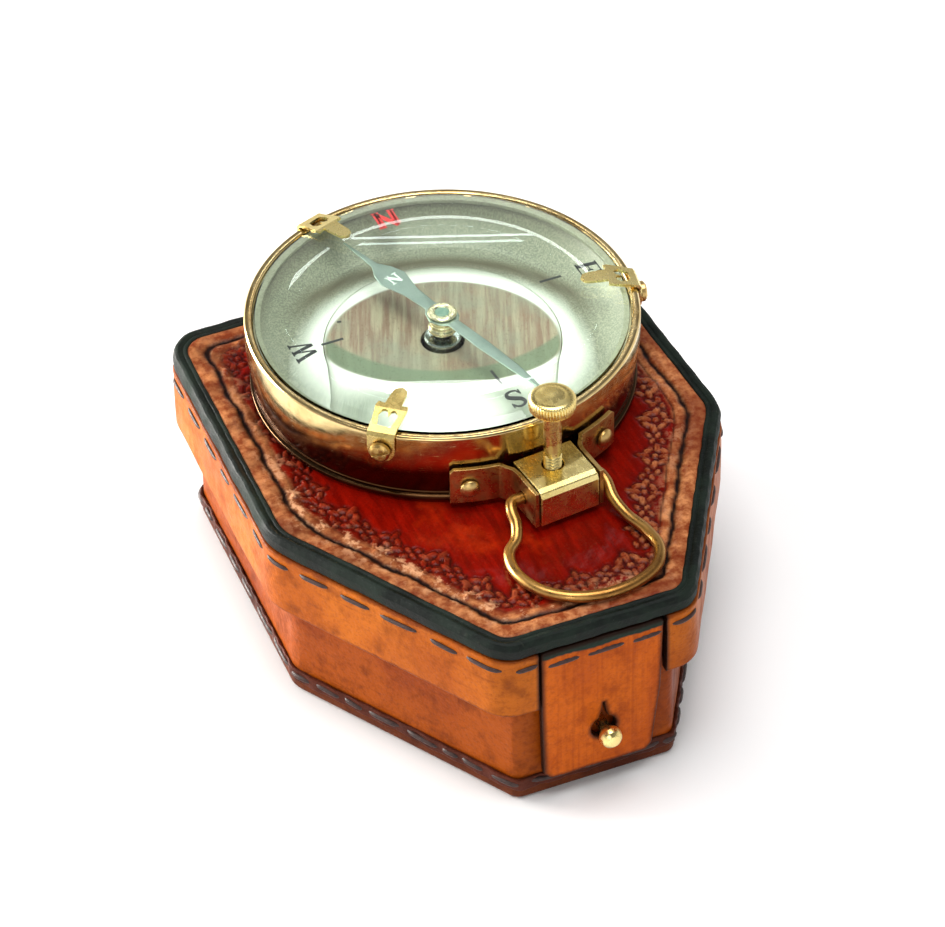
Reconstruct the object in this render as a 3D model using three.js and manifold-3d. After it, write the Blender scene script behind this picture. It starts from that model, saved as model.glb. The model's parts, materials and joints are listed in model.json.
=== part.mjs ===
// Geology compass standing on its own fitted leather carrying case.
// Millimetres, +Z up, the buckle tab of the case faces -Y, the case hinge is at the back (+Y).
// The origin is the middle of the case underside.
import * as THREE from 'three';
import Module from 'manifold-3d';
import { mergeVertices } from 'three/addons/utils/BufferGeometryUtils.js';

// ---- carrying case ----
const FRONT_HALF = 19.3;
const WIDE_HALF = 46.5;
const BACK_HALF = 44.1;
const CASE_HALF_LENGTH = 54.6;
const WIDE_Y = -8.0;
const CORNER_RADII = [7, 7, 11, 8, 8, 11];
const LID_TOP_Z = 40.4;
const BINDING_WIDTH = 3.2;
const BINDING_BOTTOM_Z = 36.9;
const PANEL_THICKNESS = 2.1;
const SKIRT_TOP_Z = 36.6;
const SKIRT_BOTTOM_Z = 23.2;
const SKIRT_OUTER = 0.15;
const SKIRT_THICKNESS = 2.0;
const SKIRT_BACK_Y = 50.0;
const WALL_OUTER = 4.6;
const WALL_FRONT = 2.9;
const WALL_THICKNESS = 1.6;
const WALL_TOP_Z = 34.2;
const SOLE_THICKNESS = 2.3;
const LINING_GAP = 0.3;
const LINING_FRONT_GAP = 0.9;
const LINING_THICKNESS = 0.7;
const TAB_CENTRE_X = 0.6;
const TAB_TOP_HALF = 12.2;
const TAB_END_HALF = 10.8;
const TAB_END_Z = 5.0;
const TAB_GAP = 0.5;
const STUD_X = 0.8;
const STUD_Z = 14.2;
const HINGE_Y = CASE_HALF_LENGTH - WALL_OUTER + 1.25;
const HINGE_Z = 34.6;
const HINGE_HALF = 29;

// ---- compass ----
const COMPASS_X = 1.3;
const COMPASS_Y = 21.5;
const COMPASS_Z = LID_TOP_Z + 0.25;
const RIM_RADIUS = 37.5;
const RIM_TOP = 15.7;
const BASE_RADIUS = 36.8;
const BASE_THICKNESS = 1.3;
const GLASS_RADIUS = 35.4;
const GLASS_BOTTOM = 14.5;
const GLASS_TOP = 17.1;
const FLOOR_Z = 5.1;
const MIRROR_RADIUS = 22.5;
const POST_RADIUS = 1.3;
const CLIPS = {
  northwest: { angle: 110, skew: 5, reach: 27.0 },
  east: { angle: 350, skew: -2, reach: 27.0 },
  southwest: { angle: 230, skew: -3, reach: 26.2 },
};
const CLIP_SCREW_Z = 12.6;
const CLIP_SHEET = 0.5;
const NEEDLE_ANGLE = 107.5;
const BRACKET_ANGLE = -84;
const BRACKET_TOP = 8.9;
const BRACKET_HALF = 6.1;
const BRACKET_SHEET = 0.8;
const EAR_SPREAD = 27;
const EAR_SCREW_ANGLE = 21.5;
const EAR_SCREW_Z = 4.7;
const SCREW_RADIAL = 42.0;
const HEAD_RADIUS = 4.4;
const LEVER_PIVOT_R = 21.0;
const LEVER_PIVOT_Z = 3.4;
const BAIL_WIRE = 0.9;
const BAIL_PIVOT_R = 43.4;
const BAIL_PIVOT_Z = 4.7;

const wasm = await Module();
wasm.setup();

// ---- helpers ----
function toSolid(geometry) {
  const plain = geometry.clone();
  plain.deleteAttribute('normal');
  plain.deleteAttribute('uv');
  const merged = mergeVertices(plain, 1e-4);
  return new wasm.Manifold(new wasm.Mesh({
    numProp: 3,
    vertProperties: new Float32Array(merged.attributes.position.array),
    triVerts: new Uint32Array(merged.index.array),
  }));
}

function toGeometry(solid) {
  const mesh = solid.getMesh();
  const geometry = new THREE.BufferGeometry();
  geometry.setAttribute('position', new THREE.BufferAttribute(new Float32Array(mesh.vertProperties), 3));
  geometry.setIndex(new THREE.BufferAttribute(new Uint32Array(mesh.triVerts), 1));
  return geometry;
}

function cut(geometry, ...tools) {
  const body = tools.reduce((solid, tool) => solid.subtract(toSolid(tool)), toSolid(geometry));
  return toGeometry(body);
}

function join(geometry, ...others) {
  const body = others.reduce((solid, other) => solid.add(toSolid(other)), toSolid(geometry));
  return toGeometry(body);
}

function meet(a, b) {
  return toGeometry(toSolid(a).intersect(toSolid(b)));
}

function points(pairs) {
  return pairs.map(([x, y]) => new THREE.Vector2(x, y));
}

function lathe(pairs, segments = 64) {
  const geometry = new THREE.LatheGeometry(points(pairs), segments);
  geometry.rotateX(Math.PI / 2);
  return geometry;
}

function ring(inner, outer, z0, z1, segments = 64) {
  return lathe([[inner, z0], [outer, z0], [outer, z1], [inner, z1], [inner, z0]], segments);
}

function prism(outline, z0, z1, holes = []) {
  const shape = new THREE.Shape(outline);
  holes.forEach((hole) => shape.holes.push(new THREE.Path(hole)));
  const geometry = new THREE.ExtrudeGeometry(shape, { depth: z1 - z0, bevelEnabled: false, steps: 1 });
  geometry.translate(0, 0, z0);
  return geometry;
}

function box(x0, x1, y0, y1, z0, z1) {
  const geometry = new THREE.BoxGeometry(x1 - x0, y1 - y0, z1 - z0);
  geometry.translate((x0 + x1) / 2, (y0 + y1) / 2, (z0 + z1) / 2);
  return geometry;
}

// A cylinder lying along local +X (the outward radial direction), from x0 to x1 at height z.
function radialRod(x0, x1, radius, z, segments = 16) {
  const geometry = new THREE.CylinderGeometry(radius, radius, x1 - x0, segments);
  geometry.rotateZ(-Math.PI / 2);
  geometry.translate((x0 + x1) / 2, 0, z);
  return geometry;
}

// Turns a piece built along local +X so that it points to the given bearing of the compass.
function toward(geometry, degrees) {
  geometry.rotateZ(THREE.MathUtils.degToRad(degrees));
  return geometry;
}

function ontoCase(geometry) {
  geometry.translate(COMPASS_X, COMPASS_Y, COMPASS_Z);
  return geometry;
}

// The case plan: a six-sided outline moved inward by `inset` (`front` on the front side), with
// rounded corners.
function casePlan(inset, front = inset, perCorner = 5) {
  const corners = points([
    [-FRONT_HALF, -CASE_HALF_LENGTH],
    [FRONT_HALF, -CASE_HALF_LENGTH],
    [WIDE_HALF, WIDE_Y],
    [BACK_HALF, CASE_HALF_LENGTH],
    [-BACK_HALF, CASE_HALF_LENGTH],
    [-WIDE_HALF, WIDE_Y],
  ]);
  const count = corners.length;
  const edges = corners.map((corner, i) => {
    const next = corners[(i + 1) % count];
    const along = next.clone().sub(corner).normalize();
    const inward = new THREE.Vector2(-along.y, along.x);
    return { start: corner.clone().addScaledVector(inward, i === 0 ? front : inset), along };
  });
  const outline = [];
  for (let i = 0; i < count; i += 1) {
    const before = edges[(i + count - 1) % count];
    const after = edges[i];
    const across = before.along.cross(after.along);
    const gap = after.start.clone().sub(before.start);
    const reach = gap.cross(after.along) / across;
    const corner = before.start.clone().addScaledVector(before.along, reach);
    const radius = Math.max(CORNER_RADII[i] - inset, 1.2);
    const turn = Math.asin(across);
    const setback = radius * Math.tan(turn / 2);
    const begin = corner.clone().addScaledVector(before.along, -setback);
    const inward = new THREE.Vector2(-before.along.y, before.along.x);
    const centre = begin.clone().addScaledVector(inward, radius);
    for (let k = 0; k <= perCorner; k += 1) {
      const spoke = inward.clone().multiplyScalar(-radius);
      spoke.rotateAround(new THREE.Vector2(0, 0), turn * k / perCorner);
      outline.push(centre.clone().add(spoke));
    }
  }
  return outline;
}

function lidRing(outer, inner, z0, z1) {
  return prism(casePlan(outer), z0, z1, [casePlan(inner)]);
}

// A ring of the case body, whose front side stands further out than its other sides.
function bodyPlan(depth) {
  return casePlan(WALL_OUTER + depth, WALL_FRONT + depth);
}

const group = new THREE.Group();
group.name = 'geology_compass';

const materials = {
  leather_side: { color: 0xb5622a, roughness: 0.55 },
  leather_tooled: { color: 0x8e2412, roughness: 0.3 },
  leather_edge: { color: 0x1d241f, roughness: 0.45 },
  suede: { color: 0x6b4a35, roughness: 0.95 },
  board: { color: 0x8a7358, roughness: 0.9 },
  brass: { color: 0xb58a34, roughness: 0.25, metalness: 1 },
  brass_bright: { color: 0xe2c26a, roughness: 0.18, metalness: 1 },
  brass_dark: { color: 0x4a3520, roughness: 0.4, metalness: 1 },
  dial_silver: { color: 0xb9beb4, roughness: 0.35, metalness: 0.8 },
  mirror: { color: 0xc9d6d0, roughness: 0.05, metalness: 1 },
  glass: { color: 0xbfe6dc, roughness: 0.03, transparent: true, opacity: 0.35 },
  steel_blued: { color: 0x5f7f8c, roughness: 0.25, metalness: 1 },
  steel: { color: 0xaab0ac, roughness: 0.22, metalness: 1 },
  jewel: { color: 0x7a2b3c, roughness: 0.1 },
};

Object.entries(materials).forEach(([name, settings]) => {
  materials[name] = new THREE.MeshStandardMaterial(settings);
  materials[name].name = name;
});

function add(name, geometry, material) {
  const mesh = new THREE.Mesh(geometry, materials[material]);
  mesh.name = name;
  group.add(mesh);
}

// ---- case body ----
function makeSole() {
  return prism(bodyPlan(-0.3), 0, SOLE_THICKNESS);
}

function makeWelt() {
  return prism(bodyPlan(-0.75), 2.6, 4.6, [bodyPlan(-0.25)]);
}

function makeWall() {
  const wall = prism(bodyPlan(0), 2.6, WALL_TOP_Z, [bodyPlan(WALL_THICKNESS)]);
  const hole = new THREE.CylinderGeometry(1.4, 1.4, 8, 16);
  hole.translate(STUD_X, -CASE_HALF_LENGTH + 4, STUD_Z);
  return cut(wall, hole);
}

function makeLining() {
  const sides = WALL_OUTER + WALL_THICKNESS + LINING_GAP;
  const front = WALL_FRONT + WALL_THICKNESS + LINING_FRONT_GAP;
  const outer = prism(casePlan(sides, front), 2.7, 33.4);
  const hollow = prism(casePlan(sides + LINING_THICKNESS, front + LINING_THICKNESS), 3.7, 40);
  return cut(outer, hollow);
}

// The leather hinge: a flap on the back wall and a short strip under the lid, folding between them.
function makeHingeFlap() {
  return box(-HINGE_HALF, HINGE_HALF, HINGE_Y - 0.95, HINGE_Y + 0.95, 9, HINGE_Z - 0.3);
}

function makeHingeStrip() {
  return box(-HINGE_HALF, HINGE_HALF, HINGE_Y - 0.95, HINGE_Y + 0.2, HINGE_Z + 1.2, 36.5);
}

// The stud: a neck through the wall with a round knob outside.
function makeStud() {
  const profile = [[0, 0], [1.1, 0], [1.1, 5.6], [1.5, 6.0], [2.05, 6.9], [2.15, 7.7],
    [1.9, 8.6], [1.2, 9.2], [0, 9.4]];
  const geometry = lathe(profile, 20);
  geometry.rotateX(Math.PI / 2);
  geometry.translate(STUD_X, -CASE_HALF_LENGTH + 4.95, STUD_Z);
  return geometry;
}

function makeStudWasher() {
  const geometry = ring(1.45, 3.1, 0, 0.4, 20);
  geometry.rotateX(Math.PI / 2);
  geometry.translate(STUD_X, -CASE_HALF_LENGTH + 5.15, STUD_Z);
  return geometry;
}

// ---- lid ----
function makePanel() {
  const inset = BINDING_WIDTH + 0.25;
  return prism(casePlan(inset), LID_TOP_Z - PANEL_THICKNESS, LID_TOP_Z);
}

// The painted edge strip: a ring with a rounded top outer corner.
function makeBinding() {
  const round = 0.7;
  const shape = new THREE.Shape(casePlan(round));
  shape.holes.push(new THREE.Path(casePlan(BINDING_WIDTH - round * 0.5)));
  const geometry = new THREE.ExtrudeGeometry(shape, {
    depth: LID_TOP_Z - BINDING_BOTTOM_Z - round * 2 + 0.2,
    bevelEnabled: true,
    bevelSegments: 2,
    bevelSize: round * 0.5,
    bevelOffset: 0,
    bevelThickness: round,
  });
  geometry.translate(0, 0, BINDING_BOTTOM_Z + round);
  return geometry;
}

function makeBoard() {
  return prism(casePlan(BINDING_WIDTH + 0.4), 36.6, 38.0);
}

function makeLidLining() {
  return prism(casePlan(7.0), 35.5, 36.3);
}

// The overhanging side of the lid, on one side of the closure tab (side -1 left, 1 right).
function makeSkirt(side) {
  const whole = lidRing(SKIRT_OUTER, SKIRT_OUTER + SKIRT_THICKNESS, SKIRT_BOTTOM_Z, SKIRT_TOP_Z);
  const edge = TAB_CENTRE_X + side * (TAB_TOP_HALF + TAB_GAP);
  const far = side * 60;
  const keep = box(Math.min(edge, far), Math.max(edge, far), -60, SKIRT_BACK_Y, 20, 40);
  return meet(whole, keep);
}

// The closure strap hangs from the front edge of the lid and buttons over the stud.
function makeTab() {
  const top = 36.5;
  const outline = points([
    [TAB_CENTRE_X - TAB_TOP_HALF, top],
    [TAB_CENTRE_X - TAB_TOP_HALF + 0.1, 20],
    [TAB_CENTRE_X - TAB_END_HALF - 1.0, TAB_END_Z + 1.6],
    [TAB_CENTRE_X - TAB_END_HALF + 0.4, TAB_END_Z],
    [TAB_CENTRE_X + TAB_END_HALF - 2.2, TAB_END_Z],
    [TAB_CENTRE_X + TAB_END_HALF - 0.8, TAB_END_Z + 1.6],
    [TAB_CENTRE_X + TAB_TOP_HALF - 0.6, 20],
    [TAB_CENTRE_X + TAB_TOP_HALF, top],
  ]).reverse();
  const hole = new THREE.EllipseCurve(STUD_X, STUD_Z, 2.5, 2.6).getPoints(20).slice(0, 20);
  const slit = points([
    [STUD_X - 0.35, STUD_Z + 2.4],
    [STUD_X + 0.35, STUD_Z + 2.4],
    [STUD_X + 0.2, STUD_Z + 6.0],
    [STUD_X - 0.2, STUD_Z + 6.0],
  ]);
  const plate = prism(outline, 0, SKIRT_THICKNESS);
  const opened = cut(plate, prism(hole, -1, 4), prism(slit, -1, 4));
  opened.rotateX(Math.PI / 2);
  opened.translate(0, -CASE_HALF_LENGTH + SKIRT_OUTER + SKIRT_THICKNESS, 0);
  return opened;
}

// ---- compass housing ----
function makeBase() {
  return lathe([[0, 0], [BASE_RADIUS - 0.5, 0], [BASE_RADIUS, 0.4], [BASE_RADIUS, 0.9],
    [BASE_RADIUS - 0.4, BASE_THICKNESS], [0, BASE_THICKNESS]], 72);
}

function screwHoles() {
  const clips = Object.values(CLIPS).map(({ angle }) => (
    toward(radialRod(33, 41, 1.3, CLIP_SCREW_Z, 10), angle)));
  const ears = [-1, 1].map((side) => (
    toward(radialRod(33, 41, 1.3, EAR_SCREW_Z, 10), BRACKET_ANGLE + side * EAR_SCREW_ANGLE)));
  return clips.concat(ears);
}

function makeHousingWall() {
  const wall = lathe([[35.2, 1.55], [36.3, 1.55], [36.5, 3.0], [37.2, 8.0], [37.5, 12.0], [37.5, 15.3],
    [37.2, RIM_TOP], [36.1, RIM_TOP], [35.8, 15.4], [35.8, 10.0], [35.2, 4.0], [35.2, 1.55]], 72);
  const notch = toward(box(30, 42, -2.3, 2.3, 0, 4.7), BRACKET_ANGLE);
  return cut(wall, notch, ...screwHoles());
}

function makeSpacer() {
  const notch = toward(box(30, 42, -2.4, 2.4, 0, 4.3), BRACKET_ANGLE);
  return cut(ring(33.0, 34.8, 1.6, 4.8, 48), notch);
}

function makeBackPlate() {
  return ring(4.2, 34.8, FLOOR_Z, FLOOR_Z + 0.8, 48);
}

// The silvered floor: a flat step round the mirror and a slope rising to the wall.
function makeDialFloor() {
  const z = FLOOR_Z + 1.1;
  return lathe([[MIRROR_RADIUS + 0.4, z], [34.6, z], [34.6, z + 3.0], [34.2, z + 3.0], [28.0, z + 0.9],
    [24.2, z + 0.8], [MIRROR_RADIUS + 0.4, z + 0.6], [MIRROR_RADIUS + 0.4, z]], 64);
}

function makeMirror() {
  const z = FLOOR_Z + 1.1;
  return lathe([[4.2, z], [MIRROR_RADIUS, z], [MIRROR_RADIUS, z + 0.6], [MIRROR_RADIUS - 0.8, z + 1.1],
    [4.2, z + 1.1], [4.2, z]], 56);
}

function makeGlassSeat() {
  return ring(34.0, 35.45, 13.0, GLASS_BOTTOM - 0.3, 64);
}

function makeGlass() {
  return lathe([[0, GLASS_BOTTOM], [GLASS_RADIUS, GLASS_BOTTOM], [GLASS_RADIUS, 15.3],
    [32.6, GLASS_TOP - 0.1], [30, GLASS_TOP], [0, GLASS_TOP]], 72);
}

function makePivotPost() {
  return lathe([[0, 1.6], [3.0, 1.6], [3.0, 2.2], [POST_RADIUS, 2.3], [POST_RADIUS, 9.0],
    [0.9, 9.5], [0, 9.5]], 20);
}

function makePivotPin() {
  return lathe([[0, 9.8], [0.45, 9.8], [0.4, 10.8], [0, 11.4]], 12);
}

// ---- clips that hold the glass ----
function clipSideProfile() {
  const low = GLASS_TOP + 0.3;
  const high = low + CLIP_SHEET;
  return points([[38.3, 9.4], [38.3, 15.6], [37.8, 16.3], [36.2, 16.8], [32.5, high], [22, high],
    [22, low], [32.4, low], [36.1, 16.2], [37.3, 15.98], [37.8, 15.3], [37.8, 9.4]]);
}

// Seen from above: two legs over the rim, a shoulder and a round-ended finger. `reach` is the
// distance of the finger's end from the middle of the compass.
function clipTopOutline(reach) {
  const neck = reach + 5.1;
  return points([[39, -2.65], [39, 2.65], [neck + 4, 2.7], [neck + 0.9, 3.1], [neck - 0.2, 2.9],
    [neck, 1.6], [reach + 1.6, 1.4], [reach + 0.6, 1.1], [reach, 0], [reach + 0.6, -1.1],
    [reach + 1.6, -1.4], [neck, -1.6], [neck - 0.2, -2.9], [neck + 0.9, -3.1], [neck + 4, -2.7]]);
}

function clipWindow(reach) {
  const top = reach + 6.6;
  return points([[36.4, -1.3], [36.4, 1.3], [top + 1.1, 1.9], [top + 0.3, 1.5], [top, 0.9],
    [top + 0.3, 0.3], [top + 1.2, 0], [top + 0.3, -0.3], [top, -0.9], [top + 0.3, -1.5],
    [top + 1.1, -1.9]]);
}

function makeClip({ angle, skew, reach }) {
  const bent = prism(clipSideProfile().reverse(), -8, 8);
  bent.rotateX(Math.PI / 2);
  const top = prism(clipTopOutline(reach), 15.5, 19, [clipWindow(reach)]);
  top.translate(-37.3, 0, 0);
  top.rotateZ(THREE.MathUtils.degToRad(skew));
  top.translate(37.3, 0, 0);
  const disc = new THREE.EllipseCurve(0, CLIP_SCREW_Z, 2.65, 2.65, Math.PI, 2 * Math.PI).getPoints(10);
  const face = disc.concat(points([[2.65, 15.6], [-2.65, 15.6]]));
  const tab = prism(face, 0, 2);
  tab.applyMatrix4(new THREE.Matrix4().makeBasis(
    new THREE.Vector3(0, 1, 0), new THREE.Vector3(0, 0, 1), new THREE.Vector3(1, 0, 0)));
  tab.translate(37.4, 0, 0);
  const plate = meet(bent, join(top, tab));
  return toward(cut(plate, radialRod(36, 40, 1.3, CLIP_SCREW_Z, 12)), angle);
}

// A slotted screw lying along the radial direction, head outward.
function makeSlottedScrew(angle, headStart, headRadius, z) {
  const profile = [[0, 36.2], [0.95, 36.2], [0.95, headStart], [headRadius, headStart],
    [headRadius, headStart + 0.7], [headRadius - 0.5, headStart + 1.1], [0, headStart + 1.2]];
  const screw = new THREE.LatheGeometry(points(profile), 18);
  screw.rotateZ(-Math.PI / 2);
  screw.translate(0, 0, z);
  const slot = box(headStart + 0.65, headStart + 3, -3, 3, z - 0.3, z + 0.3);
  slot.translate(0, 0, -z);
  slot.rotateX(THREE.MathUtils.degToRad(25));
  slot.translate(0, 0, z);
  return toward(cut(screw, slot), angle);
}

// A round-headed screw lying along the radial direction.
function makeDomedScrew(angle, headStart, z) {
  const profile = [[0, 36.2], [0.95, 36.2], [0.95, headStart], [1.9, headStart], [1.85, headStart + 0.5],
    [1.3, headStart + 1.0], [0, headStart + 1.3]];
  const screw = new THREE.LatheGeometry(points(profile), 18);
  screw.rotateZ(-Math.PI / 2);
  screw.translate(0, 0, z);
  return toward(screw, angle);
}

// ---- bracket on the side of the housing ----
// One folded ear: follows the housing wall, bends outward and becomes the side of the block.
function makeEar(side) {
  const bend = [];
  for (let a = EAR_SPREAD; a >= 13; a -= 3.5) {
    const turn = THREE.MathUtils.degToRad(a);
    bend.push(new THREE.Vector2(38.25 * Math.cos(turn), side * 38.25 * Math.sin(turn)));
  }
  const sideLine = BRACKET_HALF + 0.3 + BRACKET_SHEET / 2;
  bend.push(...points([[38.5, side * 7.9], [39.6, side * 7.1], [41.2, side * sideLine],
    [44.8, side * sideLine], [48.3, side * sideLine]]));
  const half = BRACKET_SHEET / 2;
  const left = [];
  const right = [];
  bend.forEach((point, i) => {
    const before = bend[Math.max(i - 1, 0)];
    const after = bend[Math.min(i + 1, bend.length - 1)];
    const along = after.clone().sub(before).normalize();
    const normal = new THREE.Vector2(-along.y, along.x);
    left.push(point.clone().addScaledVector(normal, half));
    right.push(point.clone().addScaledVector(normal, -half));
  });
  const outline = left.concat(right.reverse());
  if (THREE.ShapeUtils.area(outline) < 0) {
    outline.reverse();
  }
  const strip = prism(outline, 1.0, BRACKET_TOP);
  const screwHole = radialRod(35, 41, 1.3, EAR_SCREW_Z, 12);
  toward(screwHole, side * EAR_SCREW_ANGLE);
  const wireHole = new THREE.CylinderGeometry(1.35, 1.35, 4, 14);
  wireHole.translate(BAIL_PIVOT_R, side * sideLine, BAIL_PIVOT_Z);
  const endTurn = side * (EAR_SPREAD + 1);
  const corner = toward(box(-2, 2.2, -1.4, 1.4, -1.4, 1.4).rotateX(Math.PI / 4), 0);
  corner.translate(38, 0, BRACKET_TOP + 0.6);
  toward(corner, endTurn);
  return toward(cut(strip, screwHole, wireHole, corner), BRACKET_ANGLE);
}

// The folded block: a top plate with the screw hole and a front plate bent down from it.
function makeBlock() {
  const sheet = 0.9;
  const front = 48.6;
  const profile = points([[37.95, BRACKET_TOP - sheet], [front - 2.0, BRACKET_TOP - sheet],
    [front - sheet, BRACKET_TOP - 2.0], [front - sheet, 1.0], [front, 1.0], [front, BRACKET_TOP - 1.5],
    [front - 0.45, BRACKET_TOP - 0.45], [front - 1.5, BRACKET_TOP], [37.95, BRACKET_TOP]]);
  const plate = prism(profile, -BRACKET_HALF, BRACKET_HALF);
  plate.rotateX(Math.PI / 2);
  const bore = new THREE.CylinderGeometry(2.1, 2.1, 6, 20);
  bore.rotateX(Math.PI / 2);
  bore.translate(SCREW_RADIAL, 0, BRACKET_TOP);
  return toward(cut(plate, bore), BRACKET_ANGLE);
}

function makeThumbscrew() {
  const shaft = [[0, 4.8], [1.3, 4.8], [1.6, 5.2]];
  for (let k = 0; k < 8; k += 1) {
    shaft.push([1.75, 5.6 + k * 0.7]);
    shaft.push([1.45, 5.95 + k * 0.7]);
  }
  shaft.push([1.7, 11.4], [1.7, 21.8], [1.9, 22.4], [0, 22.4]);
  const stem = lathe(shaft, 16);
  const teeth = 40;
  const rim = [];
  for (let k = 0; k < teeth; k += 1) {
    const radius = HEAD_RADIUS - (k % 2) * 0.22;
    const turn = 2 * Math.PI * k / teeth;
    rim.push(new THREE.Vector2(radius * Math.cos(turn), radius * Math.sin(turn)));
  }
  const knurl = prism(rim, 22.2, 24.9);
  const crown = lathe([[0, 24.8], [HEAD_RADIUS - 0.25, 24.8], [HEAD_RADIUS - 0.5, 25.1], [2.6, 25.3],
    [0, 25.35]], 40);
  const screw = join(stem, knurl, crown);
  screw.translate(SCREW_RADIAL, 0, 0);
  return toward(screw, BRACKET_ANGLE);
}

function makeScrewFoot() {
  const foot = lathe([[0, 3.85], [1.3, 3.85], [1.5, 4.1], [1.5, 4.5], [0, 4.5]], 16);
  foot.translate(SCREW_RADIAL, 0, 0);
  return toward(foot, BRACKET_ANGLE);
}

// ---- needle lifter ----
function makeLever() {
  const outline = points([[44, -1.3], [44, 1.3], [40, 1.6], [10, 1.6], [6.5, 3.2], [-1.5, 3.2], [-1.5, 1.9],
    [3.2, 1.9], [4.4, 0], [3.2, -1.9], [-1.5, -1.9], [-1.5, -3.2], [6.5, -3.2], [10, -1.6], [40, -1.6]]);
  const bar = prism(outline, 2.75, 3.5);
  const knuckle = box(LEVER_PIVOT_R - 1.3, LEVER_PIVOT_R + 1.3, -1.6, 1.6, 2.4, 4.5);
  const bore = new THREE.CylinderGeometry(0.7, 0.7, 8, 12);
  bore.translate(LEVER_PIVOT_R, 0, LEVER_PIVOT_Z);
  return toward(cut(join(bar, knuckle), bore), BRACKET_ANGLE);
}

function makeFulcrum() {
  const block = box(LEVER_PIVOT_R - 1.8, LEVER_PIVOT_R + 1.8, -3.1, 3.1, 1.55, 4.6);
  const slot = box(LEVER_PIVOT_R - 3, LEVER_PIVOT_R + 3, -1.95, 1.95, 2.05, 6);
  const bore = new THREE.CylinderGeometry(0.7, 0.7, 8, 12);
  bore.translate(LEVER_PIVOT_R, 0, LEVER_PIVOT_Z);
  return toward(cut(block, slot, bore), BRACKET_ANGLE);
}

function makeLeverPin() {
  const pin = new THREE.CylinderGeometry(0.42, 0.42, 6.4, 10);
  pin.translate(LEVER_PIVOT_R, 0, LEVER_PIVOT_Z);
  return toward(pin, BRACKET_ANGLE);
}

function makeCollar() {
  return lathe([[1.75, 3.8], [3.6, 3.8], [3.6, 8.1], [3.3, 8.4], [1.75, 8.4], [1.75, 3.8]], 28);
}

// ---- needle ----
function makeNeedleBlade() {
  const half = [[29.3, 0.15], [19.5, 0.8], [16.2, 1.9], [13.6, 2.5], [9.0, 1.6], [3.4, 1.3], [2.4, 2.4]];
  const tail = [[-2.4, 2.4], [-3.4, 1.2], [-12, 1.3], [-22, 0.9], [-28.6, 0.2]];
  const upper = half.concat([[0, 3.2]], tail);
  const lower = upper.map(([x, y]) => [x, -y]).reverse();
  const outline = points(upper.concat(lower)).reverse();
  const hole = new THREE.EllipseCurve(0, 0, 1.95, 1.95).getPoints(20).slice(0, 20);
  return toward(prism(outline, 13.15, 13.45, [hole]), NEEDLE_ANGLE);
}

function makeNeedleCap() {
  return lathe([[1.9, 9.9], [2.7, 9.9], [2.7, 10.6], [2.35, 10.8], [2.35, 12.4], [1.9, 12.8], [1.6, 12.85],
    [1.6, 13.7], [2.75, 13.75], [2.8, 13.95], [2.5, 14.18], [1.5, 14.18], [1.2, 13.9], [0, 13.85],
    [0, 12.5], [1.9, 12.35], [1.9, 9.9]], 28);
}

function makeJewel() {
  return lathe([[0, 11.8], [0.6, 11.5], [1.5, 11.5], [1.5, 12.0], [0, 12.15]], 20);
}

// ---- wire bail ----
function makeBail() {
  const pivot = (offset) => {
    const turn = THREE.MathUtils.degToRad(BRACKET_ANGLE);
    const across = new THREE.Vector3(-Math.sin(turn), Math.cos(turn), 0);
    const out = new THREE.Vector3(Math.cos(turn), Math.sin(turn), 0);
    return out.multiplyScalar(BAIL_PIVOT_R).addScaledVector(across, offset).setZ(BAIL_PIVOT_Z);
  };
  const route = [
    pivot(-5.0),
    pivot(-7.4),
    [-4.9, -44.3, 4.75],
    [-5.75, -45.9, 4.3],
    [-5.9, -48.4, 2.9],
    [-7.0, -50.9, 1.6],
    [-9.2, -53.0, 1.2],
    [-10.3, -56.0, 1.15],
    [-10.2, -60.2, 1.15],
    [-7.9, -65.3, 1.15],
    [-3.4, -69.0, 1.15],
    [2.4, -70.6, 1.15],
    [8.8, -69.9, 1.15],
    [13.9, -67.2, 1.15],
    [16.4, -62.8, 1.15],
    [16.1, -57.5, 1.15],
    [14.5, -52.6, 1.4],
    [13.6, -48.6, 2.6],
    [13.6, -45.2, 4.2],
    [13.0, -43.0, 4.7],
    pivot(7.4),
    pivot(5.0),
  ].map((step) => (Array.isArray(step) ? new THREE.Vector3(...step) : step));
  const path = new THREE.CatmullRomCurve3(route, false, 'centripetal');
  const wire = new THREE.Shape(new THREE.EllipseCurve(0, 0, BAIL_WIRE, BAIL_WIRE).getPoints(9).slice(0, 9));
  return new THREE.ExtrudeGeometry(wire, { steps: 84, bevelEnabled: false, extrudePath: path });
}

add('case_sole', makeSole(), 'leather_side');
add('case_welt', makeWelt(), 'leather_edge');
add('case_wall', makeWall(), 'leather_side');
add('case_lining', makeLining(), 'suede');
add('case_hinge_flap', makeHingeFlap(), 'leather_side');
add('closure_stud', makeStud(), 'brass_bright');
add('stud_washer', makeStudWasher(), 'brass');

add('lid_panel', makePanel(), 'leather_tooled');
add('lid_edge_binding', makeBinding(), 'leather_edge');
add('lid_board', makeBoard(), 'board');
add('lid_lining', makeLidLining(), 'suede');
add('lid_hinge_strip', makeHingeStrip(), 'leather_side');
add('lid_skirt_left', makeSkirt(-1), 'leather_side');
add('lid_skirt_right', makeSkirt(1), 'leather_side');
add('closure_tab', makeTab(), 'leather_side');

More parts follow.
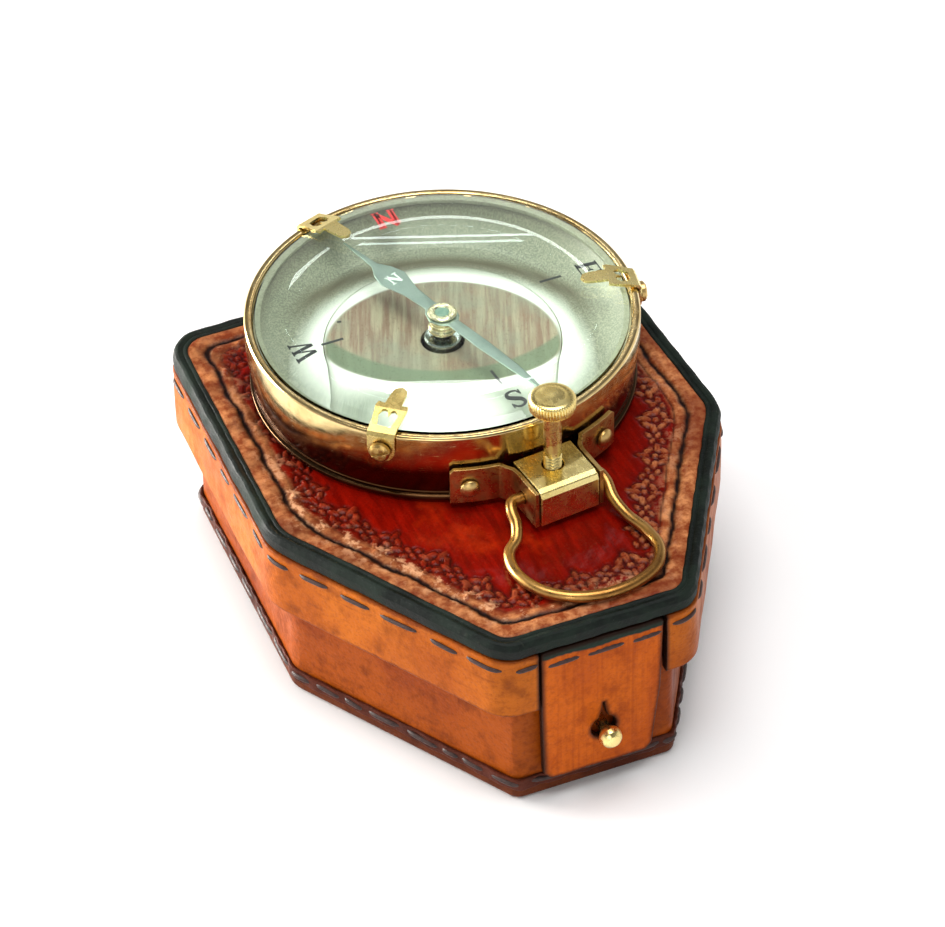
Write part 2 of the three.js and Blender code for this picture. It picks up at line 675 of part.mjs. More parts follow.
add('compass_base', ontoCase(makeBase()), 'brass');
add('compass_wall', ontoCase(makeHousingWall()), 'brass');
add('floor_spacer', ontoCase(makeSpacer()), 'brass_dark');
add('floor_back_plate', ontoCase(makeBackPlate()), 'brass_dark');
add('dial_floor', ontoCase(makeDialFloor()), 'dial_silver');
add('dial_mirror', ontoCase(makeMirror()), 'mirror');
add('glass_seat', ontoCase(makeGlassSeat()), 'brass_dark');
add('compass_glass', ontoCase(makeGlass()), 'glass');
add('pivot_post', ontoCase(makePivotPost()), 'steel');
add('pivot_pin', ontoCase(makePivotPin()), 'steel');

Object.entries(CLIPS).forEach(([side, clip]) => {
  add(`glass_clip_${side}`, ontoCase(makeClip(clip)), 'brass_bright');
  add(`clip_screw_${side}`, ontoCase(makeSlottedScrew(clip.angle, 38.6, 2.0, CLIP_SCREW_Z)), 'brass');
});

add('bracket_ear_left', ontoCase(makeEar(-1)), 'brass');
add('bracket_ear_right', ontoCase(makeEar(1)), 'brass');
add('bracket_block', ontoCase(makeBlock()), 'brass');
add('bracket_screw_left', ontoCase(makeDomedScrew(BRACKET_ANGLE - EAR_SCREW_ANGLE, 38.95, EAR_SCREW_Z)),
  'brass_dark');
add('bracket_screw_right', ontoCase(makeDomedScrew(BRACKET_ANGLE + EAR_SCREW_ANGLE, 38.95, EAR_SCREW_Z)),
  'brass_dark');

add('thumbscrew', ontoCase(makeThumbscrew()), 'brass_bright');
add('thumbscrew_foot', ontoCase(makeScrewFoot()), 'steel');
add('lift_lever', ontoCase(makeLever()), 'brass');
add('lever_fulcrum', ontoCase(makeFulcrum()), 'brass');
add('lever_pin', ontoCase(makeLeverPin()), 'steel');
add('lift_collar', ontoCase(makeCollar()), 'steel');

add('needle_blade', ontoCase(makeNeedleBlade()), 'steel_blued');
add('needle_cap', ontoCase(makeNeedleCap()), 'brass_bright');
add('cap_jewel', ontoCase(makeJewel()), 'jewel');

add('wire_bail', ontoCase(makeBail()), 'brass_bright');

export default group;
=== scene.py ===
import json
import math
import random

import bmesh
import bpy
import numpy as np
from mathutils import Matrix, Vector
from mathutils.geometry import delaunay_2d_cdt

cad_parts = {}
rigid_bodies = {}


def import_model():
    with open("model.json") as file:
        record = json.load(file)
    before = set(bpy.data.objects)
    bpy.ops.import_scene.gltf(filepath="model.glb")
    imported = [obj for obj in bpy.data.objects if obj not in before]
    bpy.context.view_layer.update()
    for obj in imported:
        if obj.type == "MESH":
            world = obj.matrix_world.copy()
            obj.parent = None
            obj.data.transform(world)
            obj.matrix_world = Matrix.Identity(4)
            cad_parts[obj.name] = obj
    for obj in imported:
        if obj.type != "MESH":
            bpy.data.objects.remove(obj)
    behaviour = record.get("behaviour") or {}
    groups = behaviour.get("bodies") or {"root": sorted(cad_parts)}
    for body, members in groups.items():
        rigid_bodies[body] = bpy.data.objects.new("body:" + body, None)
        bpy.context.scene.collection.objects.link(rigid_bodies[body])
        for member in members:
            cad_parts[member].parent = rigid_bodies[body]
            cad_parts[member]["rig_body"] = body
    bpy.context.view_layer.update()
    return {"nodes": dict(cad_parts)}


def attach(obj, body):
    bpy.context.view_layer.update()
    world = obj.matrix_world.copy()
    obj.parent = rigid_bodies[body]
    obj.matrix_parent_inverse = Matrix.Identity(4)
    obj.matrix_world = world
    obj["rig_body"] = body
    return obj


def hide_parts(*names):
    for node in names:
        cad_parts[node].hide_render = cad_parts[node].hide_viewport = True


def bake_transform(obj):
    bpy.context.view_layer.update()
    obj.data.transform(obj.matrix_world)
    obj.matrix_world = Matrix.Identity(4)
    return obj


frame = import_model()
nodes = frame["nodes"]
random.seed(11)

MM = 0.001

# ---- case and compass dimensions, in millimetres, as in the CAD part ----
CORNERS = [(-19.3, -54.6), (19.3, -54.6), (46.5, -8.0), (44.1, 54.6), (-44.1, 54.6), (-46.5, -8.0)]
CORNER_RADII = [7.0, 7.0, 11.0, 8.0, 8.0, 11.0]
WALL_OUTER, WALL_FRONT = 4.6, 2.9
LID_TOP = 40.4
PRESSED_RISE, BASE_CLEAR = 0.12, 37.4  # most that the lid leather rises under the compass, and how far out
SPRIG = 1.16  # size of one spray of stamped leaves
SKIRT_LOW, SKIRT_HIGH = 23.2, 36.75
SKIRT_BACK = 50.0
SKIRT_OUTER, SKIRT_INNER = 0.15, 2.15  # insets of the skirt's two faces from the outline
SEAM_Z = 34.6  # the groove pressed along the skirt above its stitches
TAB_X = 0.6
TAB_HALF = 12.2
TAB_LOW, TAB_TOP = 5.0, 36.6
TAB_BACK = -52.45
STUD_X, STUD_Z = 0.8, 14.2
HINGE_Y, HINGE_Z = 51.25, 34.6
COMPASS = np.array([1.3, 21.5, 40.65])
BRACKET_ANGLE = math.radians(-84)
NEEDLE_ANGLE = math.radians(107.5)
VIEW_FORWARD = (0.379, 0.925)  # the photograph's line of sight, seen from above


# ---- mesh helpers: everything is built in millimetres and stored in metres ----
def mesh_piece(name, verts, faces, sharp=40, recalc=True):
    mesh = bpy.data.meshes.new(name)
    mesh.from_pydata((np.asarray(verts, float) * MM).tolist(), [], faces)
    if recalc:
        bm = bmesh.new()
        bm.from_mesh(mesh)
        bmesh.ops.recalc_face_normals(bm, faces=bm.faces)
        bm.to_mesh(mesh)
        bm.free()
    mesh.shade_smooth()
    mesh.set_sharp_from_angle(angle=math.radians(sharp))
    piece = bpy.data.objects.new(name, mesh)
    bpy.context.scene.collection.objects.link(piece)
    return piece


def settle(piece, body, material, replaces=()):
    """Gives a piece its material and its body, and hides the CAD nodes it stands for."""
    if material is not None:
        piece.data.materials.clear()
        piece.data.materials.append(material)
    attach(piece, body)
    if replaces:
        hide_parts(*replaces)
    return piece


def point_value(piece, name, values):
    """Stores one number for each vertex, for a material to read."""
    layer = piece.data.attributes.new(name, "FLOAT", "POINT")
    layer.data.foreach_set("value", np.asarray(values, np.float32))


def rounded(points, radius, steps=5, closed=True):
    """A polygon of (u, v) points with its corners turned into arcs."""
    out = []
    count = len(points)
    for i in range(count):
        p = np.array(points[i], float)
        if not closed and i in (0, count - 1):
            out.append(p)
            continue
        a = np.array(points[i - 1], float) - p
        b = np.array(points[(i + 1) % count], float) - p
        la, lb = np.linalg.norm(a), np.linalg.norm(b)
        a, b = a / la, b / lb
        half = math.acos(max(-1, min(1, a @ b))) / 2
        back = min(radius / max(math.tan(half), 1e-3), la * 0.48, lb * 0.48)
        if half > 1.52:
            out.append(p)
            continue
        start, end = p + a * back, p + b * back
        for k in range(steps + 1):
            t = k / steps
            out.append((1 - t) ** 2 * start + 2 * t * (1 - t) * p + t * t * end)
    return np.array(out)


def plan(inset, front=None, step=0.8):
    """The six-sided case outline moved inward; every call with the same step has the same count."""
    per_corner = 10
    front = inset if front is None else front
    corners = [Vector(c) for c in CORNERS]
    count = len(corners)
    edges = []
    for i, corner in enumerate(corners):
        along = (corners[(i + 1) % count] - corner).normalized()
        inward = Vector((-along.y, along.x))
        edges.append((corner + inward * (front if i == 0 else inset), along))
    arcs = []
    for i in range(count):
        (p0, a0), (p1, a1) = edges[i - 1], edges[i]
        across = a0.x * a1.y - a0.y * a1.x
        gap = p1 - p0
        corner = p0 + a0 * ((gap.x * a1.y - gap.y * a1.x) / across)
        radius = max(CORNER_RADII[i] - inset, 1.2)
        turn = math.asin(across)
        begin = corner - a0 * (radius * math.tan(turn / 2))
        inward = Vector((-a0.y, a0.x))
        centre = begin + inward * radius
        arc = []
        for k in range(per_corner + 1):
            spoke = inward * -1.0
            spoke.rotate(Matrix.Rotation(turn * k / per_corner, 2))
            arc.append((centre + spoke * radius, spoke))
        arcs.append(arc)
    points, normals = [], []
    for i in range(count):
        for p, n in arcs[i]:
            points.append(p[:])
            normals.append(n[:])
        start, end = arcs[i][-1][0], arcs[(i + 1) % count][0][0]
        length = (corners[(i + 1) % count] - corners[i]).length
        steps = max(2, round(length / step))
        for k in range(1, steps):
            points.append(start.lerp(end, k / steps)[:])
            normals.append(arcs[i][-1][1][:])
    return np.array(points), np.array(normals)


# faces between rings of vertices stored one after another
def sweep_faces(rings, around, wrap_ring=True, wrap_profile=True, start=0):
    faces = []
    for j in range(rings if wrap_profile else rings - 1):
        a, b = start + j * around, start + ((j + 1) % rings) * around
        for i in range(around if wrap_ring else around - 1):
            k = (i + 1) % around
            faces.append((a + i, a + k, b + k, b + i))
    return faces


def capped_sweep(rings, around, start=0):
    """Faces of a stack of rings with a flat cap at each end."""
    last = start + (rings - 1) * around
    return [*sweep_faces(rings, around, wrap_profile=False, start=start),
            tuple(range(start, start + around)), tuple(range(last, last + around))]


def tangents(path):
    ahead = np.gradient(path, axis=0)
    return ahead / np.linalg.norm(ahead, axis=1)[:, None]


def travelled(path):
    """Length along a path at each of its points."""
    return np.concatenate([[0], np.cumsum(np.linalg.norm(np.diff(path, axis=0), axis=1))])


def from_wall(flat, outer=WALL_OUTER, front=WALL_FRONT):
    """Turns (depth, z) points into a ring profile measured from one outline of the case."""
    return [(outer + d, front + d, z) for d, z in flat]


def ring_sweep(name, profile, step=0.8, wobble=None, sharp=40):
    """A closed ring round the case. The profile holds (inset, front inset, z) points."""
    verts = []
    for inset, front, z in profile:
        points, normals = plan(inset, front, step=step)
        lift = wobble(points, z) if wobble else 0.0
        moved = points + normals * (lift if np.ndim(lift) == 0 else lift[:, None])
        verts.append(np.column_stack([moved, np.full(len(moved), z)]))
    around = len(verts[0])
    return mesh_piece(name, np.vstack(verts), sweep_faces(len(profile), around), sharp)


def ripple(points, z, size, amount, seed=0.0):
    """Smooth handmade unevenness along an outline."""
    a = points[:, 0] / size
    b = points[:, 1] / size
    return amount * (np.sin(a * 1.7 + z * 0.21 + seed) * np.cos(b * 1.3 - z * 0.17 + seed * 2)
                     + 0.5 * np.sin(a * 4.1 + b * 3.3 + z * 0.4 + seed * 3))


def lathe_piece(name, profile, segments, sharp=35, centre=COMPASS):
    """A turned piece from (radius, z) points; a point on the axis is a single vertex."""
    verts, rings, faces = [], [], []
    for r, z in profile:
        spokes = 1 if r < 1e-6 else segments
        rings.append(range(len(verts), len(verts) + spokes))
        for k in range(spokes):
            turn = 2 * math.pi * k / segments
            verts.append((r * math.cos(turn), r * math.sin(turn), z) if spokes > 1 else (0.0, 0.0, z))
    pairs = list(zip(rings, rings[1:]))
    if len(rings[0]) > 1 and len(rings[-1]) > 1:
        pairs.append((rings[-1], rings[0]))
    for low, high in pairs:
        for k in range(segments if len(low) > 1 or len(high) > 1 else 0):
            n = (k + 1) % segments
            if len(low) == 1:
                faces.append((low[0], high[n], high[k]))
            elif len(high) == 1:
                faces.append((low[k], low[n], high[0]))
            else:
                faces.append((low[k], low[n], high[n], high[k]))
    return mesh_piece(name, np.array(verts) + centre, faces, sharp)


def plain_plate(name, outline, low, high, soft, step):
    """A flat sheet with soft edges and nothing else."""
    verts, faces, _, _ = plate_mesh(outline, [], low, high, soft, step)
    return mesh_piece(name, verts, faces)


def outline_distance(points, outlines):
    """Distance from each point to the nearest of some closed outlines."""
    best = np.full(len(points), 1e9)
    for outline in outlines:
        a = outline
        d = np.roll(outline, -1, axis=0) - a
        for first in range(0, len(points), 4000):
            p = points[first:first + 4000]
            rel = p[:, None, :] - a[None]
            t = np.clip((rel * d).sum(2) / np.maximum((d * d).sum(1), 1e-12), 0, 1)
            gap = np.linalg.norm(rel - t[..., None] * d, axis=2).min(1)
            best[first:first + 4000] = np.minimum(best[first:first + 4000], gap)
    return best


def inside(points, outline):
    """Which points lie inside a closed outline."""
    x, y = points[:, 0], points[:, 1]
    hit = np.zeros(len(points), bool)
    for (x0, y0), (x1, y1) in zip(outline, np.roll(outline, -1, axis=0)):
        crosses = (y0 > y) != (y1 > y)
        with np.errstate(divide="ignore", invalid="ignore"):
            at = (x1 - x0) * (y - y0) / (y1 - y0) + x0
        hit ^= crosses & (x < at)
    return hit


def dense(outline, step):
    """A closed outline with points no further apart than a step."""
    out = []
    for a, b in zip(outline, np.roll(outline, -1, axis=0)):
        n = max(1, math.ceil(np.linalg.norm(b - a) / step))
        out.extend(a + (b - a) * k / n for k in range(n))
    return np.array(out)


def plate_mesh(outline, holes, low, high, soft, step, edge_rows=(0.12, 0.35, 0.7, 1.0)):
    """A plate in the XY plane with soft edges. Returns the vertices, the faces, and each vertex's
    place in the plane with its distance from the edge, top side first."""
    loops = [dense(np.asarray(o, float), step) for o in [outline, *holes]]
    lo, hi = loops[0].min(0), loops[0].max(0)
    gx, gy = np.meshgrid(np.arange(lo[0], hi[0], step), np.arange(lo[1], hi[1], step))
    gx = gx + (np.arange(len(gx)) % 2)[:, None] * step * 0.5
    grid = np.column_stack([gx.ravel(), gy.ravel()])
    grid = grid[inside(grid, loops[0])]
    for hole in loops[1:]:
        grid = grid[~inside(grid, hole)]
    gap = outline_distance(grid, loops)
    grid = grid[gap > soft + step * 0.4]
    extra = []
    for i, loop in enumerate(loops):
        ahead = np.roll(loop, -1, axis=0) - np.roll(loop, 1, axis=0)
        ahead /= np.linalg.norm(ahead, axis=1)[:, None]
        side = np.column_stack([-ahead[:, 1], ahead[:, 0]])
        trial = loop + side * 0.01
        inward = side if inside(trial[:1], loops[0])[0] == (i == 0) or i > 0 and not inside(
            trial[:1], loop)[0] else -side
        for share in edge_rows:
            row = loop + inward * soft * share
            good = inside(row, loops[0])
            for hole in loops[1:]:
                good &= ~inside(row, hole)
            row = row[good]
            extra.append(row[outline_distance(row, loops) > soft * share * 0.93])
    flat = np.vstack([*loops, *extra, grid])
    edges, first = [], 0
    for loop in loops:
        n = len(loop)
        edges += [(first + k, first + (k + 1) % n) for k in range(n)]
        first += n
    verts2, _, tris, _, _, _ = delaunay_2d_cdt([Vector(p) for p in flat], edges, [], 1, 1e-6)
    verts2 = np.array([v[:] for v in verts2])
    tris = np.array(tris)
    centres = verts2[tris].mean(1)
    keep = inside(centres, loops[0])
    for hole in loops[1:]:
        keep &= ~inside(centres, hole)
    tris = tris[keep]
    gap = outline_distance(verts2, loops)
    gap[gap < 1e-5] = 0
    short = np.clip(soft - gap, 0, soft)
    drop = soft - np.sqrt(np.maximum(soft ** 2 - short ** 2, 0))
    n = len(verts2)
    top = np.column_stack([verts2, high - drop])
    bottom = np.column_stack([verts2, low + drop])
    faces = [tuple(t) for t in tris] + [tuple(t[::-1] + n) for t in tris]
    seen = {}
    for a, b, c in tris:
        for u, v in ((a, b), (b, c), (c, a)):
            seen[(u, v)] = True
    for u, v in seen:
        if (v, u) not in seen:
            faces.append((v, u, u + n, v + n))
    return np.vstack([top, bottom]), faces, verts2, gap


def tube_arrays(path, radius, sides=16, up=None, start=0, flat=1.0, normals=None):
    """A capped tube along a path; radius may be a list. flat squeezes it along the normals."""
    path = np.asarray(path, float)
    count = len(path)
    radii = np.broadcast_to(np.asarray(radius, float), (count,))
    ahead = tangents(path)
    side = np.array([0, 0, 1.0]) if up is None else np.asarray(up, float)
    verts = []
    for i in range(count):
        if normals is not None:
            side = np.asarray(normals[i], float)
        side = side - ahead[i] * (side @ ahead[i])
        side /= np.linalg.norm(side)
        other = np.cross(ahead[i], side)
        for k in range(sides):
            turn = 2 * math.pi * k / sides
            verts.append(path[i] + radii[i] * (math.cos(turn) * side * flat + math.sin(turn) * other))
    faces = capped_sweep(count, sides, start)
    faces[-2] = faces[-2][::-1]
    return verts, faces


def catmull(points, per=8):
    """A centripetal curve through the points."""
    p = [np.array(q, float) for q in points]
    p = [2 * p[0] - p[1], *p, 2 * p[-1] - p[-2]]
    out = []
    for i in range(1, len(p) - 2):
        t = [0.0]
        for a, b in zip(p[i - 1:i + 2], p[i:i + 3]):
            t.append(t[-1] + max(np.linalg.norm(b - a), 1e-6) ** 0.5)
        for k in range(per):
            x = t[1] + (t[2] - t[1]) * k / per
            a1 = ((t[1] - x) * p[i - 1] + (x - t[0]) * p[i]) / (t[1] - t[0])
            a2 = ((t[2] - x) * p[i] + (x - t[1]) * p[i + 1]) / (t[2] - t[1])
            a3 = ((t[3] - x) * p[i + 1] + (x - t[2]) * p[i + 2]) / (t[3] - t[2])
            b1 = ((t[2] - x) * a1 + (x - t[0]) * a2) / (t[2] - t[0])
            b2 = ((t[3] - x) * a2 + (x - t[1]) * a3) / (t[3] - t[1])
            out.append(((t[2] - x) * b1 + (x - t[1]) * b2) / (t[2] - t[1]))
    out.append(p[-2])
    return np.array(out)


def refine(node, bevel, material, segments=2):
    """A CAD node's own shape with its edges softly broken, as bent and filed sheet has."""
    merge, sharp = 1e-6, 30
    source = nodes[node]
    bm = bmesh.new()
    bm.from_mesh(source.data)
    bmesh.ops.remove_doubles(bm, verts=bm.verts, dist=merge)
    bmesh.ops.dissolve_limit(bm, angle_limit=math.radians(1.2), verts=bm.verts, edges=bm.edges)
    bmesh.ops.recalc_face_normals(bm, faces=bm.faces)
    mesh = bpy.data.meshes.new(node + "_worked")
    bm.to_mesh(mesh)
    bm.free()
    mesh.shade_smooth()
    mesh.set_sharp_from_angle(angle=math.radians(sharp))
    piece = bpy.data.objects.new(node + "_worked", mesh)
    bpy.context.scene.collection.objects.link(piece)
    edge = piece.modifiers.new("edges", "BEVEL")
    edge.width = bevel * MM
    edge.segments = segments
    edge.limit_method = "ANGLE"
    edge.angle_limit = math.radians(sharp)
    edge.harden_normals = True
    return settle(piece, source["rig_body"], material, [node])


# ---- materials ----
class Look:
    """A Principled material with short calls for the nodes that feed it."""

    def __init__(self, name, roughness=0.5, metallic=0.0):
        self.material = bpy.data.materials.new(name)
        self.material.use_nodes = True
        self.tree = self.material.node_tree
        self.tree.nodes.clear()
        self.out = self.node("ShaderNodeOutputMaterial")
        self.bsdf = self.node("ShaderNodeBsdfPrincipled")
        self.tree.links.new(self.bsdf.outputs[0], self.out.inputs[0])
        self.bsdf.inputs["Roughness"].default_value = roughness
        self.bsdf.inputs["Metallic"].default_value = metallic
        self.place = self.node("ShaderNodeTexCoord").outputs["Object"]

    def node(self, kind):
        return self.tree.nodes.new(kind)

    def put(self, socket, value):
        if isinstance(value, bpy.types.NodeSocket):
            self.tree.links.new(value, socket)
        elif isinstance(value, tuple) and len(value) == 3 and socket.type == "RGBA":
            socket.default_value = (*value, 1)
        else:
            socket.default_value = value

    def stretched(self, x, y, z, turn=0.0):
        place = self.place
        if turn:
            turned = self.node("ShaderNodeMapping")
            self.put(turned.inputs["Vector"], place)
            turned.inputs["Rotation"].default_value = (0, 0, turn)
            place = turned.outputs[0]
        mapping = self.node("ShaderNodeMapping")
        self.put(mapping.inputs["Vector"], place)
        mapping.inputs["Scale"].default_value = (x, y, z)
        return mapping.outputs[0]

    def noise(self, scale, detail=4.0, roughness=0.55, vector=None, distortion=0.0):
        n = self.node("ShaderNodeTexNoise")
        self.put(n.inputs["Vector"], vector or self.place)
        n.inputs["Scale"].default_value = scale
        n.inputs["Detail"].default_value = detail
        n.inputs["Roughness"].default_value = roughness
        n.inputs["Distortion"].default_value = distortion
        return n.outputs[0]

    def cells(self, scale):
        n = self.node("ShaderNodeTexVoronoi")
        self.put(n.inputs["Vector"], self.place)
        n.inputs["Scale"].default_value = scale
        return n.outputs["Distance"]

    def attribute(self, name):
        n = self.node("ShaderNodeAttribute")
        n.attribute_name = name
        return n.outputs["Fac"]

    def axis(self, which):
        n = self.node("ShaderNodeSeparateXYZ")
        self.put(n.inputs[0], self.place)
        return n.outputs[which]

    def uneven_height(self, noise, amount):
        """Height in metres, pushed up and down by a noise so that a level edge wavers."""
        level = self.axis("Z")
        push = self.math("MULTIPLY", self.math("SUBTRACT", noise, 0.5), amount)
        return self.math("ADD", level, push)

    def ramp(self, value, low, high, start=0.0, end=1.0):
        n = self.node("ShaderNodeMapRange")
        n.interpolation_type = "SMOOTHSTEP"
        self.put(n.inputs["Value"], value)
        n.inputs["From Min"].default_value = low
        n.inputs["From Max"].default_value = high
        n.inputs["To Min"].default_value = start
        n.inputs["To Max"].default_value = end
        return n.outputs[0]

    def math(self, kind, a, b=0.0):
        n = self.node("ShaderNodeMath")
        n.operation = kind
        self.put(n.inputs[0], a)
        self.put(n.inputs[1], b)
        return n.outputs[0]

    def mix(self, share, a, b):
        n = self.node("ShaderNodeMix")
        n.data_type = "RGBA"
        self.put(n.inputs["Factor"], share)
        self.put(n.inputs[6], a)
        self.put(n.inputs[7], b)
        return n.outputs[2]

    def bump(self, height, depth, strength=1.0, under=None):
        n = self.node("ShaderNodeBump")
        n.inputs["Strength"].default_value = strength
        n.inputs["Distance"].default_value = depth * MM
        self.put(n.inputs["Height"], height)
        if under is not None:
            self.put(n.inputs["Normal"], under)
        return n.outputs[0]

    def done(self, colour=None, roughness=None, normal=None, **sockets):
        if colour is not None:
            self.put(self.bsdf.inputs["Base Color"], colour)
        if roughness is not None:
            self.put(self.bsdf.inputs["Roughness"], roughness)
        if normal is not None:
            self.put(self.bsdf.inputs["Normal"], normal)
        for name, value in sockets.items():
            self.put(self.bsdf.inputs[name.replace("_", " ")], value)
        return self.material


def leather_look(name, light, dark, stain, streak=None, edges=None, rough=(0.34, 0.55), paint_top=None,
                 dark_edges_and_gap_shade=False):
    """Vegetable tanned leather: fine pores, cloudy dye, long faint creases and darker edges; the last option
    adds near-black cut edges with painted shade of the gap beside them.
    """
    k = Look(name)
    cloud = k.noise(38, 5, 0.6)
    mottle = k.noise(210, 6, 0.65)
    colour = k.mix(k.ramp(cloud, 0.36, 0.66), light, dark)
    colour = k.mix(k.ramp(mottle, 0.46, 0.76, 0.0, 0.6), colour, stain)
    colour = k.mix(k.ramp(k.noise(950, 4, 0.7), 0.45, 0.7, 0.0, 0.32), colour, stain)
    pores = k.cells(1500)
    grain = k.noise(2600, 3, 0.6)
    colour = k.mix(k.ramp(pores, 0.0, 0.32, 0.28, 0.0), colour, stain)
    creases = k.noise(1.0, 5, 0.6, k.stretched(55, 55, 420), 0.6)
    colour = k.mix(k.ramp(creases, 0.58, 0.75, 0.0, 0.35), colour, stain)
    normal = k.bump(grain, 0.05, 0.5)
    normal = k.bump(pores, 0.09, 0.55, normal)
    if streak:
        lines = k.noise(1.0, 4, 0.55, k.stretched(streak, streak, 26))
        colour = k.mix(k.ramp(lines, 0.42, 0.7, 0.0, 0.34), colour, stain)
        normal = k.bump(lines, 0.08, 0.4, normal)
    if edges:
        # darker towards the lowest and highest edges of the piece
        low, high, soft = edges
        height = k.uneven_height(mottle, 0.002)
        edge_darkening = k.math("ADD", k.ramp(height, low * MM, (low + soft) * MM, 0.85, 0.0),
                      k.ramp(height, (high - soft) * MM, high * MM, 0.0, 0.75))
        colour = k.mix(edge_darkening, colour, stain)
    if paint_top:
        height = k.uneven_height(cloud, 0.004)
        colour = k.mix(k.ramp(height, (paint_top - 0.25) * MM, (paint_top + 0.25) * MM), colour,
                       (0.012, 0.026, 0.018))
    # near-black where the edge attribute is set: dark cut edges together with painted shade in the gap
    # between tab and skirt
    if dark_edges_and_gap_shade:
        colour = k.mix(k.attribute("edge"), colour, (0.018, 0.006, 0.003))
    rough_map = k.ramp(mottle, 0.3, 0.7, rough[0], rough[1])
    return k.done(colour, rough_map, normal, Coat_Weight=0.02, Coat_Roughness=0.25,
                  Specular_IOR_Level=0.08)


def metal_look(name, bright, dull, tarnish_and_shade, rough=(0.12, 0.3), patina=0.35, brushed=None, scratch=0.35,
               dark_below=None):
    """Polished metal with a cloudy patina, fine scratches and darker, rougher hollows; with dark_below,
    painted shade darkens everything under that height.
    """
    k = Look(name, metallic=1.0)
    cloud = k.noise(70, 6, 0.6)
    spots = k.noise(480, 5, 0.65)
    colour = k.mix(k.ramp(cloud, 0.4, 0.65), bright, dull)
    age = k.math("MULTIPLY", k.ramp(spots, 0.5, 0.72), k.ramp(cloud, 0.35, 0.7, 0.3, 1.0))
    colour = k.mix(k.math("MULTIPLY", age, patina), colour, tarnish_and_shade)
    # painted shade: under dark_below the colour turns dark, on the lower housing wall and the base plate
    if dark_below:
        height = k.uneven_height(cloud, 0.003)
        shade = k.ramp(height, (dark_below - 2.2) * MM, (dark_below + 1.6) * MM, 0.95, 0.0)
        colour = k.mix(shade, colour, tarnish_and_shade)
    hair = k.noise(1.0, 3, 0.6, k.stretched(*(brushed or (2400, 900, 5200))))
    rough_map = k.math("ADD", k.ramp(spots, 0.35, 0.75, rough[0], rough[1]),
                       k.ramp(hair, 0.45, 0.8, 0.0, 0.12))
    normal = k.bump(hair, 0.02, scratch)
    normal = k.bump(cloud, 0.12, 0.12, normal)
    return k.done(colour, rough_map, normal)


def tooled_look():
    k = Look("tooled_leather_lid")
    tool, band, wear = k.attribute("tool"), k.attribute("band"), k.attribute("wear")
    cloud = k.noise(45, 5, 0.62)
    fine = k.noise(420, 5, 0.65)
    fibre = k.noise(1.0, 4, 0.6, k.stretched(620, 110, 300))
    red = k.mix(k.ramp(fibre, 0.35, 0.7), (0.13, 0.002, 0.0004), (0.23, 0.004, 0.0008))
    red = k.mix(k.ramp(cloud, 0.57, 0.76), red, (0.40, 0.022, 0.002))
    tan = k.mix(k.ramp(fine, 0.35, 0.7), (0.24, 0.046, 0.012), (0.66, 0.26, 0.095))
    tan = k.mix(k.ramp(cloud, 0.46, 0.6, 0.0, 0.7), tan, (0.15, 0.018, 0.005))
    # band: the tan outer band, and the painted highlight on the raised leaves
    colour = k.mix(band, red, tan)
    # painted shade: the outer band darker towards the left
    colour = k.mix(k.attribute("shade"), colour, (0.055, 0.014, 0.006))
    scuff = k.math("MULTIPLY", wear, k.ramp(k.noise(330, 6, 0.7), 0.5, 0.62))
    colour = k.mix(scuff, colour, (0.66, 0.33, 0.17))
    colour = k.mix(tool, colour, (0.010, 0.003, 0.002))
    pores = k.cells(1300)
    normal = k.bump(k.noise(2200, 3, 0.6), 0.05, 0.45)
    normal = k.bump(pores, 0.07, 0.4, normal)
    normal = k.bump(fibre, 0.08, 0.3, normal)
    rough_map = k.math("ADD", k.ramp(fine, 0.3, 0.75, 0.16, 0.34), k.math("MULTIPLY", band, 0.16))
    return k.done(colour, rough_map, normal, Coat_Weight=0.04, Coat_Roughness=0.12, Specular_IOR_Level=0.07)


def edge_paint_look():
    k = Look("edge_paint")
    cloud = k.noise(160, 5, 0.6)
    fine = k.noise(1100, 4, 0.6)
    colour = k.mix(k.ramp(cloud, 0.4, 0.62), (0.002, 0.0045, 0.003), (0.008, 0.015, 0.010))
    colour = k.mix(k.ramp(fine, 0.6, 0.78, 0.0, 0.35), colour, (0.05, 0.055, 0.038))
    normal = k.bump(fine, 0.16, 0.8)
    normal = k.bump(cloud, 0.35, 0.5, normal)
    return k.done(colour, k.ramp(cloud, 0.3, 0.7, 0.44, 0.68), normal, Specular_IOR_Level=0.16)


def cloth_look(name, light, dark, scale=900):
    """Suede and board: matt, with a short uneven nap."""
    k = Look(name)
    nap = k.noise(scale, 6, 0.7)
    cloud = k.noise(60, 4, 0.5)
    colour = k.mix(k.ramp(nap, 0.35, 0.7), dark, light)
    colour = k.mix(k.ramp(cloud, 0.4, 0.7, 0.0, 0.4), colour, dark)
    return k.done(colour, k.ramp(cloud, 0.3, 0.7, 0.8, 0.98), k.bump(nap, 0.15, 0.7),
                  Sheen_Weight=0.35, Sheen_Roughness=0.5)


def paint_look(name, colour, darker):
    k = Look(name)
    fine = k.noise(1400, 4, 0.6)
    mixed = k.mix(k.ramp(fine, 0.4, 0.75), colour, darker)
    return k.done(mixed, k.ramp(fine, 0.3, 0.7, 0.45, 0.65), k.bump(fine, 0.02, 0.4))


